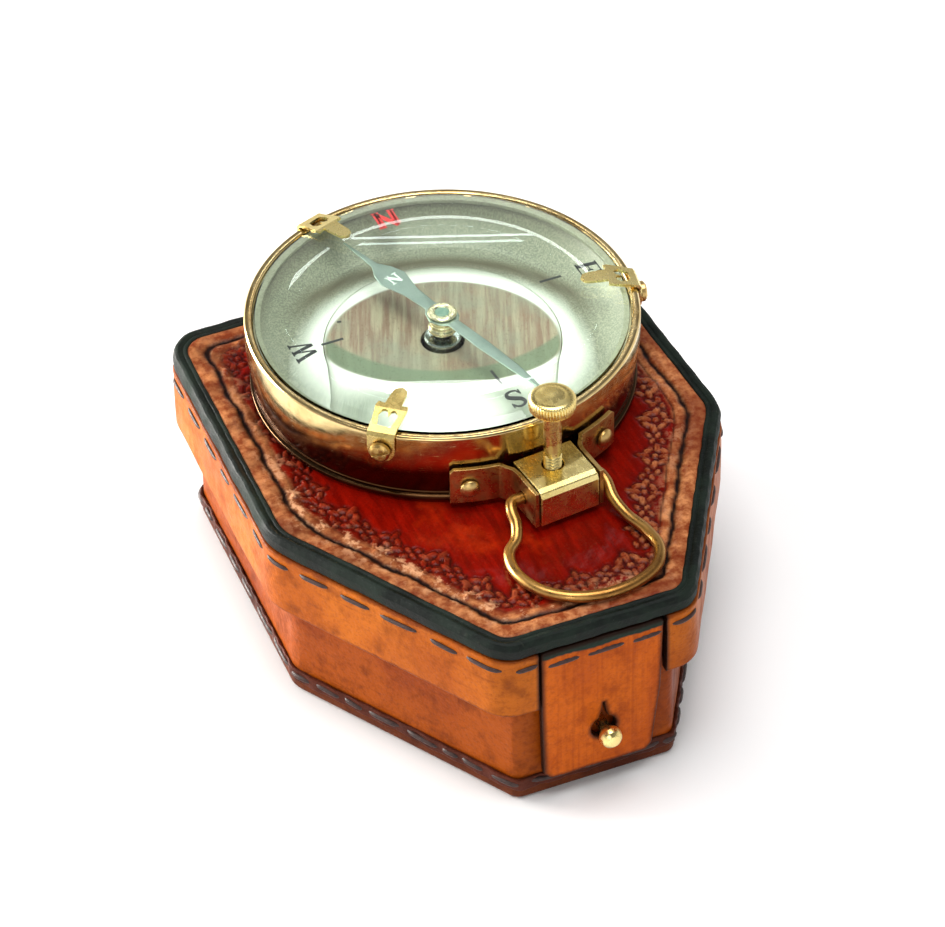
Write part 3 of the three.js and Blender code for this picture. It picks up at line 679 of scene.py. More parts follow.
def dial_look():
    """The silvered dish: grainy grey outside, with a painted highlight round the middle, a painted dark
    reflection in the centre, painted green reflections at the front and painted shadow at the back and by the
    wall.
    """
    k = Look("silvered_dish_painted_reflections")
    painted_dark_reflection, painted_highlight, painted_green_reflection = k.attribute("painted_dark_reflection"), k.attribute("painted_highlight"), k.attribute("painted_green_reflection")
    grit = k.noise(3200, 2, 0.7)
    cloud = k.noise(90, 5, 0.6)
    base = k.mix(k.ramp(grit, 0.35, 0.68), (0.16, 0.175, 0.125), (0.34, 0.345, 0.255))
    # painted shadow from the shade attribute: an arc at the back, and the slope darker by the wall
    base = k.mix(k.attribute("shade"), base, (0.10, 0.085, 0.05))
    # painted green reflection on the front of the slope
    base = k.mix(k.math("MULTIPLY", painted_green_reflection, k.math("SUBTRACT", 1.0, painted_dark_reflection)), base, (0.15, 0.22, 0.14))
    # painted highlight: near white round the middle
    base = k.mix(painted_highlight, base, (0.86, 0.89, 0.80))
    # painted dark reflection in the centre: brown-grey, streaked along the line of sight
    streak = k.noise(1.0, 4, 0.6, k.stretched(900, 60, 200, math.atan2(*VIEW_FORWARD)))
    dark = k.mix(k.ramp(streak, 0.38, 0.68), (0.25, 0.16, 0.11), (0.40, 0.35, 0.24))
    dark = k.mix(k.ramp(cloud, 0.4, 0.66, 0.0, 0.6), dark, (0.25, 0.27, 0.20))
    colour = k.mix(painted_dark_reflection, base, dark)
    # painted green reflection over the front of the dark middle
    colour = k.mix(k.math("MULTIPLY", painted_green_reflection, painted_dark_reflection), colour, (0.15, 0.21, 0.13))
    rough_map = k.math("SUBTRACT", k.ramp(grit, 0.3, 0.7, 0.38, 0.55), k.math("MULTIPLY", painted_dark_reflection, 0.12))
    return k.done(colour, rough_map, k.bump(grit, 0.03, 0.35), Metallic=0.15)


def glass_look():
    k = Look("compass_glass_clear", roughness=0.0)
    smear = k.noise(120, 4, 0.6)
    material = k.done((0.93, 0.985, 0.955), k.ramp(smear, 0.5, 0.8, 0.0, 0.008), k.bump(smear, 0.004, 0.05),
                      Transmission_Weight=1.0, IOR=1.46)
    clear = k.node("ShaderNodeBsdfTransparent")
    clear.inputs["Color"].default_value = (0.93, 0.97, 0.94, 1)
    lamps_through = k.node("ShaderNodeMixShader")
    k.put(lamps_through.inputs[0], k.node("ShaderNodeLightPath").outputs["Is Shadow Ray"])
    k.tree.links.new(k.bsdf.outputs[0], lamps_through.inputs[1])
    k.tree.links.new(clear.outputs[0], lamps_through.inputs[2])
    k.tree.links.new(lamps_through.outputs[0], k.out.inputs[0])
    return material


side_leather = leather_look("side_leather", (0.36, 0.07, 0.006), (0.25, 0.040, 0.003),
                            (0.09, 0.013, 0.002))
skirt_leather = leather_look("skirt_leather", (0.50, 0.125, 0.008), (0.36, 0.075, 0.004),
                             (0.11, 0.018, 0.003), edges=(SKIRT_LOW, SKIRT_HIGH, 0.9), dark_edges_and_gap_shade=True)
wall_leather = leather_look("wall_leather", (0.33, 0.064, 0.003), (0.22, 0.034, 0.002), (0.07, 0.009, 0.001),
                            edges=(3.6, 40, 2.2))
tab_leather = leather_look("tab_leather", (0.60, 0.120, 0.005), (0.44, 0.074, 0.003), (0.20, 0.026, 0.003),
                           streak=1200, edges=(TAB_LOW - 0.4, 45, 1.5), paint_top=35.1, dark_edges_and_gap_shade=True)
sole_leather = leather_look("sole_leather", (0.13, 0.03, 0.008), (0.07, 0.014, 0.005), (0.03, 0.007, 0.004))
welt_leather = leather_look("welt_leather", (0.09, 0.02, 0.01), (0.05, 0.012, 0.006), (0.02, 0.006, 0.004))
lid_leather = tooled_look()
edge_paint = edge_paint_look()
suede = cloth_look("suede_lining", (0.19, 0.10, 0.06), (0.09, 0.045, 0.025))
board = cloth_look("stiffener_board", (0.36, 0.27, 0.18), (0.25, 0.18, 0.11), 500)
thread = paint_look("waxed_thread", (0.035, 0.009, 0.005), (0.010, 0.003, 0.002))
brass = metal_look("aged_brass", (0.64, 0.44, 0.17), (0.44, 0.27, 0.08), (0.09, 0.04, 0.012),
                   rough=(0.24, 0.42), patina=0.65)
# its lower part, and the base plate that uses it, carry painted shade (dark_below)
wall_brass = metal_look("polished_brass", (0.88, 0.68, 0.33), (0.72, 0.50, 0.20), (0.055, 0.017, 0.006),
                        rough=(0.12, 0.24), patina=0.3, brushed=(300, 300, 6500), scratch=0.12,
                        dark_below=49.6)
brass_bright = metal_look("bright_brass", (0.92, 0.76, 0.32), (0.78, 0.58, 0.19), (0.32, 0.18, 0.045),
                          rough=(0.22, 0.34), patina=0.18)
brass_dark = metal_look("dark_brass", (0.22, 0.13, 0.05), (0.11, 0.06, 0.025), (0.03, 0.016, 0.008),
                        rough=(0.25, 0.5), patina=0.5)
needle_steel = metal_look("needle_steel", (0.46, 0.56, 0.50), (0.38, 0.48, 0.43), (0.22, 0.28, 0.25),
                          rough=(0.32, 0.46), patina=0.25, scratch=0.12)
steel = metal_look("plain_steel", (0.62, 0.66, 0.62), (0.45, 0.50, 0.47), (0.18, 0.2, 0.18), patina=0.3)
cap_brass = metal_look("cap_brass", (0.98, 0.90, 0.62), (0.92, 0.80, 0.48), (0.45, 0.33, 0.14),
                       rough=(0.18, 0.3), patina=0.12)
putty = paint_look("glazing_putty", (0.24, 0.25, 0.17), (0.17, 0.17, 0.11))
satin_brass = metal_look("satin_brass", (0.52, 0.29, 0.085), (0.32, 0.15, 0.038), (0.10, 0.04, 0.011),
                         rough=(0.26, 0.42), patina=0.6)
ink = paint_look("dial_ink", (0.012, 0.012, 0.014), (0.03, 0.03, 0.032))
red_ink = paint_look("north_ink", (0.62, 0.03, 0.03), (0.5, 0.02, 0.02))
white_ink = paint_look("needle_mark", (0.8, 0.84, 0.8), (0.66, 0.7, 0.66))
jewel = paint_look("agate_jewel", (0.16, 0.26, 0.2), (0.1, 0.18, 0.14))
dish = dial_look()
glass = glass_look()

carried = {
    "floor_spacer": brass_dark, "floor_back_plate": brass_dark, "pivot_post": steel,
    "pivot_pin": steel, "thumbscrew_foot": steel, "lift_lever": brass, "lever_fulcrum": brass,
    "lever_pin": steel, "lift_collar": steel, "cap_jewel": jewel, "stud_washer": brass,
}
for name, material in carried.items():
    nodes[name].data.materials.clear()
    nodes[name].data.materials.append(material)


# ---- the case: sole, welt, wall and lining ----
SOLE_TOP, WALL_TOP = 2.45, 34.2
LINING_OUTER, LINING_FRONT = 6.5, 5.4

sole_outline, _ = plan(WALL_OUTER - 0.35, WALL_FRONT - 0.35, step=1.2)
sole = plain_plate("case_sole_leather", sole_outline, 0.0, SOLE_TOP, 0.6, 2.2)
settle(sole, "case_base", sole_leather, ["case_sole"])

welt_flat = rounded([(-0.1, 2.2), (-0.78, 2.2), (-0.78, 4.9), (-0.1, 4.9)], 0.3, 4)
welt = ring_sweep("case_welt_cord", from_wall(welt_flat), 0.6, lambda p, z: ripple(p, z, 1.7, 0.17) - 0.09)
settle(welt, "case_base", welt_leather, ["case_welt"])

wall_flat = rounded([(1.6, 3.0), (0.0, 2.6), *[(0.0, z) for z in np.linspace(5.0, 33.0, 9)],
                     (0.0, WALL_TOP), (1.6, WALL_TOP)], 0.5, 4)
wall = ring_sweep("case_wall_leather", from_wall(wall_flat), 0.8, lambda p, z: ripple(p, z, 13.0, 0.08, 1.0))
settle(wall, "case_base", wall_leather, ["case_wall"])

lining_flat = rounded([(0.0, 3.2), (0.0, 33.4), (0.7, 33.4), (0.7, 3.2)], 0.3, 3)
lining = ring_sweep("case_lining_wall", from_wall(lining_flat, LINING_OUTER, LINING_FRONT), 1.2)
settle(lining, "case_base", suede, ["case_lining"])
lining_outline, _ = plan(LINING_OUTER, LINING_FRONT, step=1.5)
settle(plain_plate("case_lining_floor", lining_outline, 2.7, 3.7, 0.3, 2.5), "case_base", suede)


# ---- the lid ----
# the tooled border, as distances in from the case outline
GROOVE_DEPTH, INNER_LINE, LEAVES_FROM, LEAVES_TO = 6.7, 8.9, 8.6, 16.4


def edge_depth(points):
    """How far inside the case outline each point is, with soft corners."""
    count = len(CORNERS)
    depths = []
    for i in range(count):
        a = np.array(CORNERS[i])
        along = np.array(CORNERS[(i + 1) % count]) - a
        along /= np.linalg.norm(along)
        inward = np.array([-along[1], along[0]])
        depths.append((points - a) @ inward)
    depths = np.array(depths)
    least = depths.min(0)
    return least - 0.8 * np.log(np.exp(-(depths - least) / 0.8).sum(0))


def leaf_sprigs(depth_in=12.0, spacing=10.6):
    """Ovals (x, y, direction, half length, half width) of the embossed leaves round the lid."""
    track, outward = plan(depth_in, step=0.3)
    lengths = travelled(np.vstack([track, track[:1]]))
    count = round(lengths[-1] / spacing)
    ovals = []
    for j in range(count):
        at = int(np.searchsorted(lengths, (j + 0.35) * lengths[-1] / count)) % len(track)
        n = outward[at]
        t = np.array([-n[1], n[0]])
        flip = 1 if j % 2 else -1
        root = track[at] + n * 0.5 * flip

        def leaf(along, across, turn, a, b):
            p = root + (t * along + n * across * flip) * SPRIG
            base = math.atan2(n[1] * flip, n[0] * flip)
            handed = 1.0 if flip > 0 else -1.0
            ovals.append((p[0], p[1], base + handed * math.radians(turn), a * SPRIG, b * SPRIG))

        leaf(0.0, 1.9, 0, 1.35, 0.62)
        for side in (-1, 1):
            leaf(side * 1.35, 1.35, -side * 38, 1.15, 0.55)
            leaf(side * 2.1, 0.1, -side * 78, 1.25, 0.55)
            leaf(side * 1.3, -1.25, -side * 130, 1.1, 0.5)
            leaf(side * 3.9, 0.75, -side * 62, 0.85, 0.42)
            leaf(side * 3.75, -0.8, -side * 112, 0.85, 0.42)
        leaf(0.0, -2.1, 0, 1.25, 0.42)
        leaf(0.0, 0.0, 0, 0.6, 0.6)
    return ovals


def stamp(points, ovals):
    """Height of the embossed leaves, and how deep the ground beside them is."""
    rise = np.zeros(len(points))
    near = np.zeros(len(points))
    for x, y, turn, a, b in ovals:
        close = np.flatnonzero((abs(points[:, 0] - x) < 3.4) & (abs(points[:, 1] - y) < 3.4))
        d = points[close] - (x, y)
        u = d[:, 0] * math.cos(turn) + d[:, 1] * math.sin(turn)
        v = -d[:, 0] * math.sin(turn) + d[:, 1] * math.cos(turn)
        s = (u / a) ** 2 + (v / b) ** 2
        bead = np.where(s < 1, np.sqrt(np.maximum(1 - s, 0)), 0) * (1 - 0.45 * np.exp(-(v / 0.16) ** 2))
        rise[close] = np.maximum(rise[close], bead)
        near[close] = np.maximum(near[close], np.exp(-np.maximum(s - 1, 0) * 0.55))
    return rise, near


def band_noise(points, size, seed):
    a = points[:, 0] / size + seed
    b = points[:, 1] / size - seed * 1.7
    return (np.sin(a * 1.9 + 1.3 * np.sin(b * 1.1)) + np.sin(b * 2.3 + 1.1 * np.sin(a * 0.9 + 2))
            + 0.6 * np.sin(a * 4.7 + b * 3.9) + 0.4 * np.sin(a * 9.1 - b * 8.3 + seed)) / 3


def make_lid_panel():
    outline, _ = plan(3.05, step=0.5)
    verts, faces, flat, gap = plate_mesh(outline, [], 38.1, LID_TOP, 0.7, 0.36)
    n = len(flat)
    depth = edge_depth(flat)
    waver = band_noise(flat, 4.2, 0.4)
    line = depth - GROOVE_DEPTH - 0.5 * waver
    groove = np.exp(-(line / 0.52) ** 2) * (0.75 + 0.25 * band_noise(flat, 2.0, 3.0))
    inner_line = np.exp(-((depth - INNER_LINE - 0.15 * waver) / 0.2) ** 2)
    inner_line *= np.where(flat[:, 0] > 8, 1.0, 0.35)
    rise, near = stamp(flat, leaf_sprigs())
    ground = near * np.clip((depth - LEAVES_FROM) / 0.8, 0, 1) * np.clip((LEAVES_TO - depth) / 1.2, 0, 1)
    pebbles = band_noise(flat, 0.55, 1.0) * 0.05 * ground
    lift = (-0.5 * groove - 0.25 * inner_line - 0.32 * ground + pebbles + 0.55 * rise
            + 0.10 * np.exp(-((depth - 4.9) / 1.0) ** 2) + 0.05 * waver)
    past_base = np.hypot(*(flat - COMPASS[:2]).T) - BASE_CLEAR
    lift = np.minimum(lift, PRESSED_RISE + 0.5 * np.clip(past_base / 1.2, 0, 1))
    verts[:n, 2] += lift * np.clip(gap / 0.8, 0, 1)
    panel = mesh_piece("lid_top_leather", verts, faces, 80, recalc=False)
    dark = np.clip(groove * 1.7 + inner_line * 0.8, 0, 1)
    dark = np.maximum(dark, np.clip((ground - rise * 1.5) * 0.85, 0, 0.85))
    band = np.clip((9.6 - depth + 0.7 * waver) / 1.2, 0, 1)
    # the raised leaves take the tan colour too, more towards the right: painted highlight on the leaf tops
    band = np.maximum(band, np.clip(rise * 0.8, 0, 0.7) * np.clip((flat[:, 0] + 30) / 40, 0.25, 1))
    front_left = np.clip((-flat[:, 0] - flat[:, 1] - 18) / 25, 0, 1)
    wear = np.clip(np.exp(-((depth - 7.8) / 2.6) ** 2) * (0.35 + 0.75 * front_left), 0, 1)
    # painted shade: the outer band darker towards the left, unevenly
    shade = np.clip((-flat[:, 0] - 4) / 34, 0, 1) * np.clip((11.0 - depth) / 2, 0, 1)
    shade *= 0.42 + 0.3 * band_noise(flat, 4.0, 6.0)
    for name, values in (("tool", dark), ("band", band), ("wear", wear), ("shade", np.clip(shade, 0, 0.8))):
        point_value(panel, name, np.concatenate([values, values]))
    return panel


settle(make_lid_panel(), "lid", lid_leather, ["lid_panel"])

binding_flat = rounded([(0.45, 37.2), (0.32, 39.3), (0.75, 40.35), (1.35, 40.62), (2.0, 40.42), (2.25, 40.2),
                        (2.5, 40.42), (2.85, 40.5), (3.25, 40.3), (3.3, 38.4), (2.4, 36.95), (0.9, 36.85)],
                       0.35, 3)
binding = ring_sweep("lid_edge_cord", [(d, d, z) for d, z in binding_flat], 0.5,
                     lambda p, z: ripple(p, z, 3.2, 0.09, 2.0) - 0.07, sharp=80)
settle(binding, "lid", edge_paint, ["lid_edge_binding"])

refine("lid_board", 0.3, board)
lid_lining = plain_plate("lid_lining_suede", plan(7.0, step=1.5)[0], 35.5, 36.45, 0.3, 2.5)
settle(lid_lining, "lid", suede, ["lid_lining"])


def cut_line(points, tab_edge, back):
    """The stretch of an outline from its back end down the left side to the tab's edge."""
    centre = int(np.argmin(abs(points[:, 0]) + abs(points[:, 1] - 60)))
    loop = np.roll(points, -centre, axis=0)
    below = np.flatnonzero(loop[:, 1] < back)[0]
    a, b = loop[below - 1], loop[below]
    start = a + (b - a) * (a[1] - back) / (a[1] - b[1])
    front = np.flatnonzero((loop[:, 1] < -45) & (loop[:, 0] > tab_edge))[0]
    a, b = loop[front - 1], loop[front]
    end = a + (b - a) * (tab_edge - a[0]) / (b[0] - a[0])
    return np.vstack([start, loop[below:front], end])


def resample(points, count):
    lengths = travelled(points)
    at = np.linspace(0, lengths[-1], count)
    return np.column_stack([np.interp(at, lengths, points[:, k]) for k in range(points.shape[1])])


def skirt_line(inset, side, count=None):
    points, _ = plan(inset, step=0.8)
    edge = TAB_X - TAB_HALF - 0.5 if side < 0 else -(TAB_X + TAB_HALF + 0.5)
    line = cut_line(points, edge, SKIRT_BACK)
    if count:
        line = resample(line, count)
    if side > 0:
        line = line * (-1, 1)
    return line


def make_skirt(name, side):
    outer_face = [(SKIRT_OUTER, z) for z in (SKIRT_LOW, *range(25, 36, 2), SKIRT_HIGH)]
    levels = [(SKIRT_INNER, SKIRT_LOW), *outer_face, (SKIRT_INNER, SKIRT_HIGH)]
    flat = rounded(levels, 0.55, 5)
    count = 300
    verts = []
    for inset, z in flat:
        line = skirt_line(inset, side, count)
        ahead = tangents(line)
        out = np.column_stack([ahead[:, 1], -ahead[:, 0]]) * (1 if side < 0 else -1)
        line = line + out * (ripple(line, z, 11.0, 0.07, 4.0) - 0.04)[:, None]
        seam = 0.22 * math.exp(-((z - SEAM_Z) / 0.7) ** 2) * (inset < 1)
        line = line - out * seam
        verts.append(np.column_stack([line, np.full(count, z)]))
    faces = sweep_faces(len(flat), count, wrap_ring=False)
    around = len(flat)
    faces.append(tuple(k * count for k in range(around)))
    faces.append(tuple(k * count + count - 1 for k in range(around)))
    piece = mesh_piece(name, np.vstack(verts), faces, 50)
    # edge: the skirt's cut ends darkened, a dark cut edge with painted shade in the gap by the tab
    from_end = np.minimum(np.arange(count), count - 1 - np.arange(count)) * 0.45
    point_value(piece, "edge", np.tile(np.clip(1 - from_end / 0.9, 0, 1), around))
    return piece


for name, side in (("lid_skirt_left", -1), ("lid_skirt_right", 1)):
    settle(make_skirt(f"{name}_leather", side), "lid", skirt_leather, [name])


def make_tab():
    outline = np.array([(-TAB_HALF, TAB_TOP), (-12.1, 20), (-11.8, 6.6), (-10.4, TAB_LOW), (8.6, TAB_LOW),
                        (10.0, 6.6), (11.6, 20), (TAB_HALF, TAB_TOP)]) + (TAB_X, 0)
    outline = rounded(outline.tolist(), 0.8, 4)
    hole_radius, slit_half = 2.5, math.radians(22)
    turns = np.linspace(math.pi / 2 + slit_half, 5 * math.pi / 2 - slit_half, 40)
    hole = np.column_stack([STUD_X + hole_radius * np.cos(turns), STUD_Z + hole_radius * np.sin(turns)])
    slit = np.array([(0.75, 2.6), (0.28, 4.6), (0.05, 6.2), (-0.05, 6.2), (-0.3, 4.4), (-0.75, 2.6)])
    slit = slit + (STUD_X, STUD_Z)
    verts, faces, flat, gap = plate_mesh(outline, [np.vstack([hole, slit])], 0.0, 2.0, 0.5, 0.55)
    n = len(flat)
    bow = 0.06 * np.sin(flat[:, 0] * 0.7) * np.sin(flat[:, 1] * 0.33)
    creases = 0.05 * np.sin(flat[:, 0] * 4.1 + 0.8 * np.sin(flat[:, 1] * 0.2)) * np.clip(gap / 1.5, 0, 1)
    verts[:n, 2] += bow + creases - 0.08
    verts = np.column_stack([verts[:, 0], TAB_BACK - verts[:, 2], verts[:, 1]])
    piece = mesh_piece("closure_tab_leather", verts, faces, 50)
    # edge: all round the tab, darkened: dark cut edge with painted shade in the gap beside the skirts
    edge_dark_and_gap_shade = np.clip(1 - gap / 0.9, 0, 1) ** 0.7
    point_value(piece, "edge", np.concatenate([edge_dark_and_gap_shade, edge_dark_and_gap_shade]))
    return piece


settle(make_tab(), "closure", tab_leather, ["closure_tab"])


# ---- stitching ----
def stitches(name, line, z_of, dash, gap, width, height, body, sunk=0.12, jitter=0.25):
    """A row of waxed thread dashes along an outline (x, y), lying in the leather's outer face."""
    lengths = travelled(line)
    verts, faces = [], []
    at = gap * 0.6
    while at + dash * 0.6 < lengths[-1]:
        long = min(dash * (1 + random.uniform(-jitter, jitter)), lengths[-1] - at - 0.3)
        steps = 9
        s = np.linspace(at, at + long, steps)
        here, before, after = (np.column_stack([np.interp(s + shift, lengths, line[:, k]) for k in (0, 1)])
                               for shift in (0, -0.2, 0.2))
        ahead = after - before
        ahead /= np.maximum(np.linalg.norm(ahead, axis=1), 1e-9)[:, None]
        normal = np.column_stack([ahead[:, 1], -ahead[:, 0], np.zeros(steps)])
        normal *= np.sign((here * normal[:, :2]).sum(1))[:, None]
        slant = random.uniform(-0.35, 0.35)
        ramp = np.linspace(-1, 1, steps)
        bulge = np.sqrt(np.maximum(1 - (ramp * 0.97) ** 4, 0.03))
        z = z_of + slant * ramp * 0.5 + random.uniform(-0.12, 0.12)
        path = np.column_stack([here, z]) + normal * ((bulge - 1) * height * 0.8 - sunk)[:, None]
        v, f = tube_arrays(path, width * 0.5 * (0.35 + 0.65 * bulge), 8, start=len(verts),
                           flat=height / width * 2, normals=normal)
        verts += v
        faces += f
        at += long + gap * (1 + random.uniform(-jitter, jitter))
    piece = mesh_piece(name, np.array(verts), faces, 60)
    return settle(piece, body, thread)


THREAD = (0.95, 0.42)  # width and height of a dash
for name, side in (("lid_stitches_left", -1), ("lid_stitches_right", 1)):
    stitches(name, skirt_line(SKIRT_OUTER, side), 34.5, 6.6, 2.9, *THREAD, "lid")
tab_front = np.column_stack([np.linspace(TAB_X - 12, TAB_X + 12, 60), np.full(60, -54.42)])
stitches("tab_stitches", tab_front, 33.6, 6.6, 1.2, *THREAD, "closure")
foot_line, _ = plan(WALL_OUTER - 0.72, WALL_FRONT - 0.72, step=0.8)
foot_line = np.vstack([np.roll(foot_line, -40, axis=0), np.roll(foot_line, -40, axis=0)[:1]])
stitches("sole_stitches", foot_line, 3.7, 6.2, 1.5, 1.15, 0.55, "case_base", 0.1, 0.45)


# ---- the leather hinge, one strip between the wall and the lid, pinched thinner along the hinge line ----
def make_hinge():
    half, depth, low, high = 29.0, 0.8, 9.0, 36.7
    section = rounded([(-half, -depth), (half, -depth), (half, depth), (-half, depth)], 0.5, 4)
    dense_section = dense(section, 1.2)
    levels = np.concatenate([np.linspace(low, 32.5, 22), np.linspace(32.8, high, 24)])
    verts = []
    for z in levels:
        near_end = min(z - low, high - z)
        shrink = 0.45 * (1 - math.sqrt(1 - (1 - min(near_end / 0.5, 1)) ** 2))
        scale = np.array([(half - shrink) / half, (depth - shrink * 0.8) / depth])
        crease = 0.12 * math.exp(-((z - HINGE_Z) / 0.35) ** 2)
        ring = dense_section * scale * (1, 1 - crease)
        verts.append(np.column_stack([ring[:, 0], HINGE_Y + ring[:, 1], np.full(len(ring), z)]))
    return mesh_piece("leather_hinge", np.vstack(verts), capped_sweep(len(levels), len(dense_section)), 60)


hinge = make_hinge()
hinge.data.materials.append(side_leather)
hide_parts("case_hinge_flap", "lid_hinge_strip")
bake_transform(hinge)


def flap_stitches():
    """Thread round three sides of the hinge flap, on the case wall's back."""
    verts, faces = [], []
    corners = [(-27.2, 30.5), (-27.2, 10.8), (27.2, 10.8), (27.2, 30.5)]
    for (x0, z0), (x1, z1) in zip(corners, corners[1:]):
        length = math.hypot(x1 - x0, z1 - z0)
        count = round(length / 6.6)
        for k in range(count):
            t0, t1 = (k + 0.18) / count, (k + 0.82) / count
            ramp = np.linspace(-1, 1, 7)
            bulge = np.sqrt(1 - (ramp * 0.97) ** 4)
            t = t0 + (t1 - t0) * (ramp + 1) / 2
            path = np.column_stack([x0 + (x1 - x0) * t, HINGE_Y + 0.72 + 0.25 * bulge, z0 + (z1 - z0) * t])
            v, f = tube_arrays(path, 0.45 * (0.35 + 0.65 * bulge), 8, start=len(verts), up=(0, 1, 0))
            verts += v
            faces += f
    return mesh_piece("hinge_stitches", np.array(verts), faces, 60)


settle(flap_stitches(), "case_base", thread)


# ---- the closure stud ----
STUD_ROOT = -54.6 + 4.95
stud_flat = rounded([(0, 0), (1.1, 0.0), (1.1, 5.6), (1.5, 6.0), (2.05, 6.9), (2.15, 7.7), (1.9, 8.6),
                     (1.2, 9.25), (0, 9.4)], 0.6, 4, closed=False)
stud = lathe_piece("closure_stud_turned", stud_flat, 64, centre=np.zeros(3))
stud.data.transform(Matrix.Translation((STUD_X * MM, STUD_ROOT * MM, STUD_Z * MM))
                    @ Matrix.Rotation(math.radians(90), 4, "X"))
settle(stud, "case_base", brass_bright, ["closure_stud"])


# ---- compass housing ----
WALL_RADIUS = 37.5
base_flat = rounded([(0, 0), (36.5, 0), (37.0, 0.5), (36.9, 1.25), (36.2, 1.5), (0, 1.5)], 0.3, 4,
                    closed=False)
base_plate = lathe_piece("compass_base_plate", base_flat, 224)
settle(base_plate, "compass_housing", wall_brass, ["compass_base"])

spun_flat = rounded([(35.1, 1.5), (36.3, 1.5), (36.45, 1.75), (36.3, 2.1), (36.5, 3.0), (36.85, 5.5),
                     (37.2, 8.0), (37.42, 10.4), (WALL_RADIUS, 12.6), (WALL_RADIUS, 14.7),
                     (WALL_RADIUS, 15.35), (37.2, 15.72), (36.2, 15.72), (35.85, 15.4), (35.8, 13.0),
                     (35.75, 10.0), (35.2, 4.0)], 0.22, 3)


def notch_for_lever(piece, sharp):
    """Cuts the opening at the foot of the wall that the needle lifter's lever passes through."""
    ends, half_width, heights = (30, 42), 2.3, (-1, 4.7)  # well past the wall and below it
    turn = Matrix.Rotation(BRACKET_ANGLE, 3, "Z")
    corners = [turn @ Vector((r, t, z)) for r in ends for t in (-half_width, half_width) for z in heights]
    sides = [(0, 1, 3, 2), (4, 5, 7, 6), (0, 1, 5, 4), (2, 3, 7, 6), (0, 2, 6, 4), (1, 3, 7, 5)]
    cutter = mesh_piece("notch_cutter", np.array(corners) + COMPASS, sides)
    carve = piece.modifiers.new("notch", "BOOLEAN")
    carve.operation, carve.solver, carve.object = "DIFFERENCE", "EXACT", cutter
    whole = piece.data
    carved = bpy.data.meshes.new_from_object(piece.evaluated_get(bpy.context.evaluated_depsgraph_get()))
    carved.set_sharp_from_angle(angle=math.radians(sharp))
    piece.modifiers.clear()
    piece.data = carved
    bpy.data.meshes.remove(whole)
    bpy.data.objects.remove(cutter, do_unlink=True)
    return piece


WALL_SHARP = 50
compass_wall = notch_for_lever(lathe_piece("compass_wall_spun", spun_flat, 256, WALL_SHARP), WALL_SHARP)
settle(compass_wall, "compass_housing", wall_brass, ["compass_wall"])

seat_flat = rounded([(34.0, 13.0), (35.75, 13.0), (35.75, 14.3), (34.0, 14.3)], 0.15, 3)
seat = lathe_piece("glass_seat_ring", seat_flat, 192)
settle(seat, "compass_housing", putty, ["glass_seat"])


def make_dish():
    """The silvered dish: flat in the middle, then a step, then a slope up to the wall."""
    outer = [(22.6, 6.85), (23.1, 6.9), (24.2, 7.05), (25.0, 7.1), (26.5, 7.2), (28.0, 7.4), (29.0, 7.9),
             (30.5, 8.9), (32.0, 10.0), (33.4, 11.2), (34.2, 12.0), (34.8, 12.7), (35.1, 12.2), (35.0, 6.4),
             (22.9, 6.3)]
    return lathe_piece("dial_dish_spun", rounded(outer, 0.4, 3), 224, sharp=60)


def dish_tones(piece):
    """Paints light and shade onto the dish: a painted dark reflection in the middle, a painted highlight ring
    and glare round it, painted green reflections at the front and a painted shadow arc at the back, laid out
    along and across the line of sight.
    """
    co = np.array([v.co for v in piece.data.vertices]) / MM - COMPASS
    bx, by = VIEW_FORWARD
    back = co[:, 0] * bx + co[:, 1] * by
    side = co[:, 0] * by - co[:, 1] * bx
    r = np.hypot(co[:, 0], co[:, 1])

    def soft(value, width):
        return np.clip(0.5 - value / width, 0, 1)

    # painted dark reflection: an egg shape round the middle, longer along the line of sight and reaching
    # further back than forward
    along = back + 2.0
    egg = np.hypot(side / 22.3, along / np.where(along > 0, 19.4, 11.1)) - 1
    painted_dark_reflection = soft(egg * 15, 0.5)
    # painted highlight: a ring round the dark middle
    halo = (np.hypot(side / 26.2, along / np.where(along > 0, 22.6, 14.6)) - 1) * 18
    painted_highlight = soft(halo, 2.2) * (1 - painted_dark_reflection)
    # painted shadow arc just outside the highlight ring, at the back
    arc = np.exp(-((halo - 2.6) / 1.2) ** 2) * np.clip((back - 4) / 10, 0, 1)
    # painted green reflection: a crescent at the front of the middle, and the front of the slope
    lens = np.hypot(side, back - 19.4) - 28.7
    painted_green_reflection = painted_dark_reflection * soft(-lens, 0.6) * 0.8 + (1 - painted_dark_reflection) * 0.6 * np.clip((-back - 4) / 16, 0, 1)
    # painted glare at the front of the slope, added to the painted highlight
    gleam = soft(np.abs(side - 2) - 19, 2) * np.clip((-back - 14.5) / 3, 0, 1)
    painted_highlight = np.maximum(painted_highlight, gleam)
    # painted shadow: the arc, and the slope darker out by the wall
    point_value(piece, "shade", np.clip(arc + 0.5 * np.clip((r - 32) / 2, 0, 1), 0, 1) * (1 - painted_highlight))
    point_value(piece, "painted_dark_reflection", painted_dark_reflection)
    point_value(piece, "painted_highlight", painted_highlight)
    point_value(piece, "painted_green_reflection", np.clip(painted_green_reflection, 0, 1))


def make_disc_grid():
    radii = [4.2, *np.linspace(4.4, 22.0, 75), 22.5, 22.5, 4.2]
    heights = [7.25, *[7.3] * 75, 6.95, 6.2, 6.2]
    return lathe_piece("dial_mirror_disc", list(zip(radii, heights)), 256, sharp=60)


for make, slot, node in ((make_dish, "dial_silver", "dial_floor"), (make_disc_grid, "mirror", "dial_mirror")):
    dial_piece = make()
    dish_tones(dial_piece)
    settle(dial_piece, "compass_housing", dish, [node])

